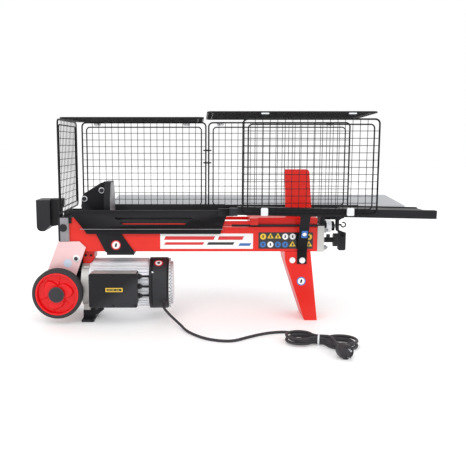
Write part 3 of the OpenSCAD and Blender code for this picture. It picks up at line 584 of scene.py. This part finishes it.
def add_wheel(name):
    """A moulded rim with three lobes round the hub, seen from both of its faces, and a grooved tyre."""
    lo, hi = mm_box("tyre_" + name)
    y = (lo[1] + hi[1]) / 2
    r = (hi[0] - lo[0]) / 2
    x, z = (lo[0] + hi[0]) / 2, (lo[2] + hi[2]) / 2
    place = facing_near(x, y, z)
    body = name + "_wheel"
    bm = bmesh.new()
    lathe(bm, tyre_profile(r, TYRE_HALF), place, 96)
    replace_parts(bm_object("tyre_%s_piece" % name, bm, "tyre_rubber", body, smooth=30), "tyre_" + name)

    rim_r = r - TYRE_DEEP
    bm = bmesh.new()
    around, across = 144, 40
    radii = [HUB_BORE + (rim_r - HUB_BORE) * k / across for k in range(across + 1)]

    def depth(radius, a):
        """How deep the face is: a lip at the rim, a channel, and lobes that reach out from the hub."""
        lobe = 37 + 9.5 * math.cos(3 * (a - math.radians(20))) + 2.5 * math.cos(6 * a)
        lip = step(radius, rim_r - 5.5, 2.0)
        floor = -12.5 * (1 - lip)
        raised = 1 - step(radius, lobe, 2.4)
        face = floor * (1 - raised) - 2.4 * raised
        rib = max(0.0, 1 - abs(((math.degrees(a) + 10) % 60) - 30) / 2.0) * 2.0
        if 24 < radius < rim_r - 6:
            face += rib * (1 - raised)
        return face

    faces = []
    for side in (1, -1):
        grid = [[bm.verts.new(place @ Vector((rr * math.cos(a), rr * math.sin(a),
                                              side * (RIM_HALF + depth(rr, a)))) * MM)
                 for a in (2 * math.pi * k / around for k in range(around))] for rr in radii]
        faces.append(grid)
        for i in range(across):
            for k in range(around):
                k2 = (k + 1) % around
                bm.faces.new((grid[i][k], grid[i + 1][k], grid[i + 1][k2], grid[i][k2]))
    for ring in (0, across):
        for k in range(around):
            k2 = (k + 1) % around
            bm.faces.new((faces[0][ring][k], faces[0][ring][k2], faces[1][ring][k2], faces[1][ring][k]))
    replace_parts(bm_object("rim_%s_piece" % name, bm, "red_plastic", body, smooth=50), "rim_" + name)


def add_axle():
    lo, hi = mm_box("wheel_axle")
    x, z = (lo[0] + hi[0]) / 2, (lo[2] + hi[2]) / 2
    bm = bmesh.new()
    sweep(bm, [(x, lo[1] + 5, z), (x, hi[1] - 5, z)], 8, 32)
    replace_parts(bm_object("wheel_axle_piece", bm, "steel", "frame"), "wheel_axle")
    for name, place in (("near", facing_near(x, lo[1] + 6.2, z)), ("far", facing_far(x, hi[1] - 6.2, z))):
        bm = bmesh.new()
        lathe(bm, [(0, 0.6), (21.5, 0.6), (23, 1.2), (23, 3.2), (22.2, 4.3), (19, 5.0), (18.2, 4.5),
                   (17.4, 5.1), (10, 5.9), (0, 6.2)], place, 48, closed=False)
        bm_object("axle_cap_" + name, bm, "grey_plastic", "frame", smooth=35)


# ---------------------------------------------------------------- labels (no lettering) and thin plates
def label(name, outline, place, finish, body, height=LABEL_THICK):
    bm = bmesh.new()
    prism(bm, outline, place, height, bevel=0.08)
    return bm_object(name, bm, finish, body)


def round_sign(name, place, r, body, ring="label_red"):
    """A round sign: a coloured ring round a white field with a plain dark lozenge."""
    label(name + "_ring", disc(r), place, ring, body, 0.3)
    label(name + "_field", disc(r * 0.76), lifted(place, 0.3), "label_white", body, 0.12)
    label(name + "_mark", round_rect(-r * 0.2, r * 0.2, -r * 0.42, r * 0.42, r * 0.18, 4),
          lifted(place, 0.42) @ Matrix.Rotation(math.radians(-12), 4, "Z"),
          "label_black", body, 0.1)


def triangle(side):
    h = side * math.sqrt(3) / 2
    return [(-side / 2, -h / 3), (side / 2, -h / 3), (0, 2 * h / 3)]


def add_labels():
    front = mm_box("main_beam")[0][1]
    z0 = 219
    slant = 5
    label("beam_label", round_rect(-211, 66, 0, 46, 1.5), facing_near(0, front, z0), "label_white", "frame")
    for k, (x0, x1, low, high, finish) in enumerate([
            (-200, -52, 27, 38, "label_red"), (-200, -84, 12, 20, "label_red"),
            (-40, 34, 27, 38, "label_red"), (-72, 6, 12, 20, "label_black"), (22, 56, 9, 17, "label_blue")]):
        label("beam_label_bar_%d" % k, [(x0, low), (x1, low), (x1 + slant, high), (x0 + slant, high)],
              facing_near(0, front - LABEL_THICK, z0), finish, "frame", 0.12)
    label("sign_strip", round_rect(82, 245, 0, 50, 2), facing_near(0, front, z0), "label_black", "frame")
    for k, (x, up, kind) in enumerate([
            (96, 37, "d_yellow"), (118, 37, "t_yellow"), (140, 37, "t_yellow"), (96, 13, "d_blue"),
            (118, 13, "d_white"), (140, 13, "d_blue"), (162, 37, "d_white"), (162, 13, "d_blue"),
            (184, 37, "d_white"), (184, 13, "t_yellow"), (233, 36, "d_yellow"), (233, 13, "t_yellow")]):
        shape, tint = kind.split("_")
        outline = disc(9) if shape == "d" else triangle(19)
        place = facing_near(x, front - LABEL_THICK, z0 + up)
        label("sign_%02d" % k, outline, place, "label_" + tint, "frame", 0.12)
        label("sign_mark_%02d" % k, round_rect(-2.2, 2.2, -4, 4, 1.5, 4), lifted(place, 0.12), "label_black",
              "frame", 0.08)
    guide = mm_box("guide_plates")[0][1]
    round_sign("guide_sign", facing_near(-343, guide, 231), 14.5, "pusher")
    leg = mm_box("support_leg")[0][1]
    round_sign("leg_sign", facing_near(212, leg, 121), 13.5, "frame", ring="label_blue")
    label("strap_label", round_rect(-9, 9, -13, 13, 3), strap_face(267), "label_blue", "frame", 0.3)
    label("strap_label_mark", disc(6), lifted(strap_face(267), 0.3), "label_white", "frame", 0.1)
    label("bracket_label", disc(12.5), facing_near(-488, BRACKET_FACE, 176), "label_pale", "frame", 0.3)


def add_thin_plates():
    """Flat details of the frame that the CAD leaves out, and strips of painted shade. The two slot backings
    stand in for what shows through the near wing's slot: the red beam, and painted shade in the black one."""
    front = mm_box("main_beam")[0][1]
    slot = BEAM_Y - 64
    for name, outline, at, finish, thick in (
            ("cap_cover_plate", round_rect(-513, -482.5, 243, 313, 1.5), (0, CAP_FACE, 0), "worn_edge_and_painted_highlight", 2),
            # Black strip: painted shade on the end cap's left edge
            ("cap_edge_painted_shade", round_rect(-513.2, -507.5, 243, 313, 0.8), (0, CAP_FACE - 2, 0),
             "black_paint", 0.6),
            ("cap_plug", disc(11.5), (-498.4, CAP_FACE - 2, 283), "black_plastic", 2.6),
            ("beam_end_gusset", [(-482, 283), (-440, 283), (-454, 312), (-482, 312)], (0, BEAM_Y - 46, 0),
             "red_paint", 6),
            ("wing_slot_backing_low", round_rect(-333, -127, 290, 297.5, 1), (0, slot, 0), "red_paint", 1),
            # Black plate: painted shade seen through the wing's slot
            ("wing_slot_painted_shade", round_rect(-333, -127, 297.5, 306, 1), (0, slot, 0), "black_paint", 1),
            # Black strip: painted shade in the dark line under the wedge base
            ("beam_end_painted_shade", round_rect(2, 276, 286, 292.5, 1), (0, front, 0), "black_paint", 0.8)):
        label(name, outline, facing_near(*at), finish, "frame", thick)


def strap_face(z):
    """A frame on the strap's slanted near face at a height."""
    low, high = Vector((0, -195.1, 220)), Vector((0, -248.0, 319.8))
    t = (z - low.z) / (high.z - low.z)
    at = low.lerp(high, t)
    lean = math.atan2(high.y - low.y, high.z - low.z)
    return Matrix.Translation((214, at.y - 0.6, z)) @ Matrix.Rotation(math.pi / 2 - lean, 4, "X")


# ---------------------------------------------------------------- motor
BARREL_R = 73
GLAND_Y = -228
GLAND_Z = (143, 113, 85)


def add_terminal_box():
    refined("terminal_box", "black_plastic", "frame", 1.6, segments=3)
    lo, hi = mm_box("terminal_box")
    bm = bmesh.new()
    for x in (lo[0] + 6, (lo[0] + hi[0]) / 2, hi[0] - 6):
        for z in (lo[2] + 6, hi[2] - 6):
            cap_screw(bm, facing_near(x, lo[1], z), 3.2, 1.6)
    bm_object("terminal_box_screws", bm, "black_paint", "frame")
    label("terminal_box_top", round_rect(lo[0] + 4, hi[0] - 4, -251, -214, 3), facing_up(0, 0, hi[2]),
          "cast_alloy", "frame", 0.4)
    bm = bmesh.new()
    for z in GLAND_Z:
        gland = facing_right(hi[0], GLAND_Y, z)
        prism(bm, hexagon(15), gland, 6, bevel=0.8)
        lathe(bm, [(0, 5.9), (6.4, 5.9), (6.4, 9), (4.2, 12), (0, 12)], gland, 28, closed=False)
        into = BEAM_Y - math.sqrt(75 ** 2 - (z - 4 - MOTOR_Z) ** 2)
        wire = [(hi[0] + 8, GLAND_Y, z), (hi[0] + 16, -227, z), (hi[0] + 24, (into - 227) / 2, z - 2),
                (-244.5, into, z - 4)]
        sweep(bm, catmull(wire, 5), 3.4, 14)
    bm_object("terminal_box_glands", bm, "black_plastic", "frame")
    place = facing_near(-343, lo[1], 108)
    label("rating_plate", round_rect(-25, 25, -6, 6, 1), place, "label_yellow", "frame", 0.4)
    label("rating_plate_field", round_rect(-22, 22, -3.6, 3.6, 0.8), lifted(place, 0.4),
          "label_black", "frame", 0.1)
    for k, x in enumerate((-14, -3, 11)):
        label("rating_mark_%d" % k, round_rect(x - 5, x + 4, -0.7, 0.7, 0.3),
              lifted(place, 0.5), "label_yellow", "frame", 0.08)


def add_fan_cowl():
    lo, hi = mm_box("fan_cowl")
    r = (hi[2] - lo[2]) / 2
    w = hi[0] - lo[0]
    bm = bmesh.new()
    profile = [(r - 4.5, 0.3), (r - 0.6, 0.0), (r, 0.8), (r, 8), (r - 1.0, 8.8), (r - 1.0, 10.2), (r, 11),
               (r, w - 9)] + arc(r - 9, w - 9, 9, 0, 62, 6)
    profile += [(r - 6.5, w - 0.1), (r - 6.5, w - 3), (r - 4.5, w - 6)]
    lathe(bm, profile, facing_right(lo[0], BEAM_Y, MOTOR_Z), 96)
    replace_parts(bm_object("fan_cowl_piece", bm, "black_plastic", "frame"), "fan_cowl")
    bm = bmesh.new()
    for deg in (34, 154, 274):
        at, out = off_motor(lo[0] + 11, r, math.radians(deg))
        cap_screw(bm, looking(at, out), 3.4, 1.8)
    bm_object("fan_cowl_screws", bm, "machined_steel", "frame")
    for part, half_w, half_h, lift, finish in (("back", 13.5, 14, 0.25, "label_red"),
                                               ("field", 10.0, 10.5, 0.4, "label_white"),
                                               ("mark", 4.4, 5.0, 0.52, "label_black")):
        wrapped_disc("cowl_sign_" + part, -217, r, math.radians(60), half_w, half_h, lift, finish)


def wrapped_disc(name, x, r, tilt, half_w, half_h, lift, finish):
    """A thin oval disc wrapped on the cowl, as a patch of its cylinder."""
    bm = bmesh.new()
    m = 28
    outline = [(half_w * u, half_h * v) for u, v in disc(1, m)]

    def spot(u, v, up):
        return bm.verts.new(off_motor(x + u, r + up, tilt + v / r)[0] * MM)

    middle_low, middle_high = spot(0, 0, lift - 0.1), spot(0, 0, lift)
    low = [[spot(u * f, v * f, lift - 0.1) for u, v in outline] for f in (0.5, 1.0)]
    high = [[spot(u * f, v * f, lift) for u, v in outline] for f in (0.5, 1.0)]
    for i in range(m):
        j = (i + 1) % m
        bm.faces.new((middle_high, high[0][i], high[0][j]))
        bm.faces.new((high[0][i], high[1][i], high[1][j], high[0][j]))
        bm.faces.new((middle_low, low[0][j], low[0][i]))
        bm.faces.new((low[0][i], low[0][j], low[1][j], low[1][i]))
        bm.faces.new((low[1][i], low[1][j], high[1][j], high[1][i]))
    bm_object(name, bm, finish, "frame")


def add_fold_painted_highlight():
    """A thin bright strip that stands in for the highlight along the near wing's fold."""
    bm = bmesh.new()
    sweep(bm, [(x, BEAM_Y - 59.4, 279.3) for x in (-448, -24)], 1.4, 10)
    bm_object("wing_fold_painted_highlight", bm, "worn_edge_and_painted_highlight", "frame", smooth=60)


def add_valve_details():
    """The bright collar and the return spring round the spool, the lever's bent arm and its hook, and the
    bleed tee."""
    bm = bmesh.new()
    lathe(bm, [(9, 0), (18.5, 0), (18.5, 14.4), (17.4, 15.4), (9, 15.4)],
          facing_right(291.2, BEAM_Y, SPOOL_Z), 48)
    bm_object("valve_collar", bm, "motor_alloy", "frame")
    bm = bmesh.new()
    r, steps_a_turn = 13.6, 24
    coil = [(308.6 + 8.4 * i / 48, 2 * math.pi * i / steps_a_turn) for i in range(49)]
    sweep(bm, [(x, BEAM_Y + r * math.cos(a), SPOOL_Z + r * math.sin(a)) for x, a in coil], 1.7, 10)
    bm_object("valve_spring", bm, "black_paint", "frame", smooth=60)
    bm = bmesh.new()
    y = BEAM_Y - 4
    arm = [(346, 309), (337, 306.5), (329.5, 301), (326, 291), (326, 277), (329, 268), (336, 262)]
    sweep(bm, catmull([(x, y, z) for x, z in arm], 5), 3.2, 12)
    sweep(bm, [(327, y, 286), (339, y, 286)], 2.6, 12)
    sweep(bm, [(344.5 + 7 * math.cos(a), y, 286 + 7 * math.sin(a))
               for a in (math.radians(180 + 12 * i) for i in range(26))], 2.1, 10)
    bm_object("lever_arm", bm, "black_plastic", "lever", smooth=60)
    bm = bmesh.new()
    sweep(bm, [(300, BEAM_Y, BLEED_Z + 5), (300, BEAM_Y, BLEED_Z + 17)], 5.8, 24)
    bm_object("bleed_tee", bm, "black_plastic", "bleed")


def add_pump_saddle():
    """The painted saddle that holds the pump up against the beam, with its two clamp screws."""
    bm = bmesh.new()
    outline = [(-447, 169), (-426, 169), (-412, 187), (-412, 203), (-416, 210), (-447, 210)]
    prism(bm, outline, facing_near(0, BEAM_Y + 30, 0), 60, bevel=1.2)
    bm_object("pump_saddle", bm, "red_paint", "frame")
    bm = bmesh.new()
    for x in (-438, -422):
        cap_screw(bm, facing_near(x, BEAM_Y - 30, 196), 3.6, 4)
    bm_object("pump_saddle_screws", bm, "black_plastic", "frame")


def add_grille_holes():
    """Three rows of dark dots that stand for the holes round the edge of the fan's grille."""
    right = mm_box("fan_grille")[1][0]
    bm = bmesh.new()
    for row, (back, r) in enumerate(((9.6, 75.9), (6, 64.9), (2.6, 64.9))):
        for k in range(40):
            at, out = off_motor(right - back, r, math.radians(9 * k + 4.5 * (row % 2)))
            prism(bm, disc(1.5, 10), looking(at, out), 0.4)
    bm_object("fan_grille_holes", bm, "black_plastic", "frame")


def add_motor_details():
    right = mm_box("motor_flange")[1][0]
    bm = bmesh.new()
    for deg in (50, 130, 230, 310):
        at = off_motor(right - 9, 74, math.radians(deg))[0]
        sweep(bm, [at - Vector((8, 0, 0)), at + Vector((9, 0, 0))], 4.2, 14)
    bm_object("flange_lugs", bm, "cast_alloy", "frame")
    bm = bmesh.new()
    for y in (-26, 0, 26):
        z = MOTOR_Z + math.sqrt(BARREL_R ** 2 - y ** 2)
        prism(bm, round_rect(-418, -250, -8, 8, 2), Matrix.Translation((0, BEAM_Y + y, z - 1.6))
              @ Matrix.Rotation(-math.asin(y / BARREL_R), 4, "X"), 4.6, bevel=0.8)
    bm_object("barrel_bands", bm, "motor_alloy", "frame")


# ---------------------------------------------------------------- mains lead
LEAD_ROUTE = [(-200, -216, 47), (-197, -221, 42), (-190, -229, 36), (-180, -239, 28), (-168, -251, 20),
              (-156, -265, 13), (-146, -280, 8), (-138, -298, 5), (-128, -320, 4), (-116, -342, 4),
              (-102, -362, 4), (-86, -381, 4), (-66, -397, 4), (-42, -408, 4), (-14, -412, 4), (8, -403, 4),
              (30, -385, 4), (54, -366, 4), (80, -348, 4), (110, -334, 4), (142, -328, 4), (164, -334, 4),
              (180, -349, 4), (188, -368, 4), (193, -385, 4)]
LEAD_D = 8
LEAD_R = LEAD_D / 2
NECK = Vector((223, -431))
NECK_GAP = 4.3
HANK_AXIS = math.radians(-16)
NECK_BEND = 26
TURN_RISE = 6.3
HANK_TURNS = 3
PLUG_AT = Vector((257, -504, 19))
PLUG_TURN = math.radians(-75)
TIE_AT = Vector((NECK.x, NECK.y, 13.7))
TIE_HALF_W = 9.6
TIE_HALF_H = 12.2
TIE_HALF_LONG = 2.3
TIE_THICK = 1.3
TIE_SQUARE = 0.6


def catmull(points, per_span):
    """A smooth open curve through points."""
    pts = [Vector(p) for p in points]
    pts = [2 * pts[0] - pts[1]] + pts + [2 * pts[-1] - pts[-2]]
    out = []
    for i in range(1, len(pts) - 2):
        p0, p1, p2, p3 = pts[i - 1:i + 3]
        for k in range(per_span):
            t = k / per_span
            out.append(0.5 * (2 * p1 + (p2 - p0) * t + (2 * p0 - 5 * p1 + 4 * p2 - p3) * t * t
                              + (3 * p1 - p0 - 3 * p2 + p3) * t ** 3))
    out.append(pts[-2])
    return out


BEND_STEP = 3.0


def bend(centre, radius, a0, a1):
    """Points on a bend, from one heading to the next, without its first point."""
    n = max(2, round(abs(a1 - a0) * radius / BEND_STEP))
    return [(centre[0] + radius * math.cos(a), centre[1] + radius * math.sin(a))
            for a in (a0 + (a1 - a0) * i / n for i in range(1, n + 1))]


def hank_turn(left_r, right_r):
    """One turn of the tied bundle about the tie at (0, 0): over to the right lobe, round it, back under the
    tie and round the left lobe. The sides curve inwards to the tie on bends of their own."""
    def reach(r):
        return math.sqrt((r - NECK_GAP) * (r + NECK_GAP + 2 * NECK_BEND))

    right, left = reach(right_r), reach(left_r)
    high = NECK_GAP + NECK_BEND
    a_right = math.atan2(high, right)
    a_left = math.atan2(high, left)
    points = bend((0, high), NECK_BEND, -math.pi / 2, -a_right)
    points += bend((right, 0), right_r, math.pi - a_right, -math.pi + a_right)
    points += bend((0, -high), NECK_BEND, a_right, math.pi - a_left)
    points += bend((-left, 0), left_r, -a_left, -2 * math.pi + a_left)
    points += bend((0, high), NECK_BEND, -math.pi + a_left, -math.pi / 2)
    return points


def hank_points():
    """Three turns that climb over one another, the middle one smaller."""
    c, s = math.cos(HANK_AXIS), math.sin(HANK_AXIS)
    points = []
    for turn in range(HANK_TURNS):
        inner = 4 if turn % 2 else 0
        flat = hank_turn(34 - inner, 40 - inner)
        for i, (u, v) in enumerate(flat):
            z = LEAD_R + TURN_RISE * (turn + (i + 1) / len(flat))
            points.append(Vector((NECK.x + u * c - v * s, NECK.y + u * s + v * c, z)))
    return points


def add_lead():
    """The one curve of the lead: along the floor, through the tied bundle and over to the plug."""
    c, s = math.cos(HANK_AXIS), math.sin(HANK_AXIS)
    entry = Vector((NECK.x - NECK_GAP * s, NECK.y + NECK_GAP * c, LEAD_R))
    top = LEAD_R + TURN_RISE * HANK_TURNS
    into = [(204.8, -411.1, LEAD_R), (213.5, -421.5, LEAD_R), entry]
    leave = entry + Vector((0, 0, top - LEAD_R))
    tail = [leave, (236, -435, top + 2), (246.5, -447, 27), (251, -462, 28.5), (253, -478, 27),
            (255, -492, 22), (257.5, -504, 19)]
    smooth = catmull(LEAD_ROUTE + into, 6) + hank_points() + catmull(tail, 6)[1:]
    data = bpy.data.curves.new("mains_lead", "CURVE")
    data.dimensions = "3D"
    data.bevel_depth = LEAD_R * MM
    data.bevel_resolution = 4
    data.use_fill_caps = True
    spline = data.splines.new("POLY")
    spline.points.add(len(smooth) - 1)
    for spot, p in zip(spline.points, smooth):
        spot.co = (p.x * MM, p.y * MM, p.z * MM, 1)
    spline.use_smooth = True
    data.materials.append(FINISH["cable_rubber"])
    lead = bpy.data.objects.new("mains_lead", data)
    bpy.context.scene.collection.objects.link(lead)
    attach(lead, "frame")
    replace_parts(lead, "cord_lead", "cord_hank")
    length = sum((b - a).length for a, b in zip(smooth, smooth[1:])) * MM
    return lead, length


def add_plug():
    """A round plug with a ribbed sleeve and two pins."""
    place = (Matrix.Translation(PLUG_AT) @ Matrix.Rotation(PLUG_TURN, 4, "Z")
             @ Matrix.Rotation(math.pi / 2, 4, "Y"))
    bm = bmesh.new()
    profile = [(0, 0.2), (4.8, 0.2)]
    for k in range(4):
        h = 1 + 4.2 * k
        r = 5.2 + 0.55 * k
        profile += [(r, h), (r + 1.1, h + 0.5), (r + 1.1, h + 2.4), (r, h + 2.9)]
    profile += [(8, 17.6), (13, 18.6), (17.2, 22), (18.6, 27), (18.8, 30), (18.8, 42), (18.1, 43),
                (18.1, 44.4), (18.8, 45.4), (18.8, 49.5), (17.8, 50.6), (16.4, 50.6), (16.2, 48.6), (0, 48.6)]
    lathe(bm, profile, place, 64, closed=False)
    body = bm_object("plug_body", bm, "cable_rubber", "frame", smooth=32)
    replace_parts(body, "cord_plug")
    bm = bmesh.new()
    for s in (-1, 1):
        pin = place @ Matrix.Translation((s * 9.5, 0, 48.4))
        lathe(bm, [(0, 0), (2.4, 0), (2.4, 21.8), (1.9, 23.2), (0, 23.6)], pin, 20, closed=False)
    pins = bm_object("plug_pins", bm, "machined_steel", "frame")
    return body, pins


def add_tie():
    """A flat white tie round the bundle's neck."""
    bm = bmesh.new()
    across = Vector((-math.sin(HANK_AXIS), math.cos(HANK_AXIS), 0))
    along = Vector((math.cos(HANK_AXIS), math.sin(HANK_AXIS), 0))
    steps = 40

    def squarer(v):
        return math.copysign(abs(v) ** TIE_SQUARE, v)

    inner, outer = [], []
    for a in (2 * math.pi * k / steps for k in range(steps)):
        spoke = across * TIE_HALF_W * squarer(math.cos(a)) + Vector((0, 0, TIE_HALF_H * squarer(math.sin(a))))
        for ring, lift in ((inner, 0), (outer, TIE_THICK)):
            at = TIE_AT + spoke + spoke.normalized() * lift
            ring.append([bm.verts.new((at + along * s * TIE_HALF_LONG) * MM) for s in (-1, 1)])
    for k in range(steps):
        j = (k + 1) % steps
        bm.faces.new((inner[k][0], inner[j][0], inner[j][1], inner[k][1]))
        bm.faces.new((outer[k][0], outer[k][1], outer[j][1], outer[j][0]))
        for s in (0, 1):
            bm.faces.new((inner[k][s], outer[k][s], outer[j][s], inner[j][s]))
    return bm_object("lead_tie", bm, "white_plastic", "frame", smooth=40)


def add_relief():
    """The ribbed sleeve where the lead leaves the fan cowl."""
    place = looking(Vector((-200, BEAM_Y, MOTOR_Z)), Vector((0, -0.8, -0.6)))
    bm = bmesh.new()
    profile = [(0, 73), (6.7, 73), (6.7, 78.7), (8.8, 78.8), (8.8, 81.2), (7.4, 81.8)]
    for k in range(4):
        h = 82.6 + 3.8 * k
        r = 7.1 - 0.6 * k
        profile += [(r, h), (r, h + 1.9), (r - 0.8, h + 2.2), (r - 0.8, h + 3.2)]
    profile += [(4.3, 97.9), (0, 97.9)]
    lathe(bm, profile, place, 36, closed=False)
    piece = bm_object("cord_relief_piece", bm, "cable_rubber", "frame", smooth=32)
    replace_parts(piece, "cord_relief")


def add_cord():
    lead, length = add_lead()
    body, pins = add_plug()
    tie = add_tie()
    add_relief()


# ---------------------------------------------------------------- everything, in order
add_cord()
add_cage()
add_panel_clips()
for wheel in ("near", "far"):
    add_wheel(wheel)
add_axle()
add_frame_bolts()
add_pusher_bolts()
add_terminal_box()
add_fan_cowl()
add_motor_details()
add_pump_saddle()
add_valve_details()
add_fold_painted_highlight()
add_grille_holes()
add_labels()
add_thin_plates()

# CAD shapes that keep their outline and get rounded edges: node, finish, body, bevel in millimetres
REFINED = [
    ("main_beam", "red_paint", "frame", 1.6), ("left_end_cap", "cast_alloy", "frame", 1.2),
    ("right_end_cap", "cast_alloy", "frame", 1.2), ("tie_rods", "steel", "frame", 0.4),
    ("wedge", "red_paint", "frame", 1.0), ("wedge_base", "red_paint", "frame", 1.0),
    ("wing_near", "black_paint", "frame", 0.7), ("wing_far", "black_paint", "frame", 0.7),
    # wheel_brackets: red paint drawn pale pink, a painted reflection
    ("wheel_brackets", "bracket_painted_reflection", "frame", 0.9), ("support_leg", "red_paint", "frame", 1.2),
    ("rail_strap", "black_paint", "frame", 0.7), ("table_rail", "black_paint", "frame", 1.0),
    ("rail_bracket", "black_paint", "frame", 0.8), ("rear_table", "galvanised", "frame", 0.5),
    ("table_arms", "black_paint", "frame", 0.7), ("guard_brackets", "black_paint", "frame", 0.6),
    ("motor_barrel", "motor_alloy", "frame", 0.5), ("motor_flange", "cast_alloy", "frame", 1.4),
    ("fan_grille", "white_plastic", "frame", 0.5), ("pump_body", "black_paint", "frame", 2.0),
    ("motor_foot", "black_paint", "frame", 0.9), ("switch_box", "black_plastic", "frame", 3.0),
    ("valve_block", "black_paint", "frame", 0.9), ("pusher_head", "pusher_paint", "pusher", 1.2),
    ("pusher_block", "cast_alloy", "pusher", 0.8), ("guide_plates", "pusher_paint", "pusher", 0.9),
    ("retainer_plate", "pusher_paint", "pusher", 0.9), ("slide_bar", "machined_steel", "pusher", 0.6),
    ("crosshead", "steel", "pusher", 0.8), ("piston_rod", "chrome_rod", "pusher", 0.4),
    ("cylinder_barrel", "steel", "frame", 0.5), ("cylinder_gland", "machined_steel", "frame", 0.5),
    ("control_lever", "black_paint", "lever", 1.0), ("lever_grip", "black_plastic", "lever", 2.0),
    ("valve_spool", "machined_steel", "spool", 0.6), ("start_button", "green_plastic", "start", 0.9),
    ("motor_rotor", "machined_steel", "rotor", 0.4), ("cooling_fan", "black_plastic", "rotor", 0.5),
    ("driven_gear", "machined_steel", "idler", 0.4), ("bleed_screw", "black_plastic", "bleed", 1.2),
]
for node, finish, body, bevel in REFINED:
    refined(node, finish, body, bevel)
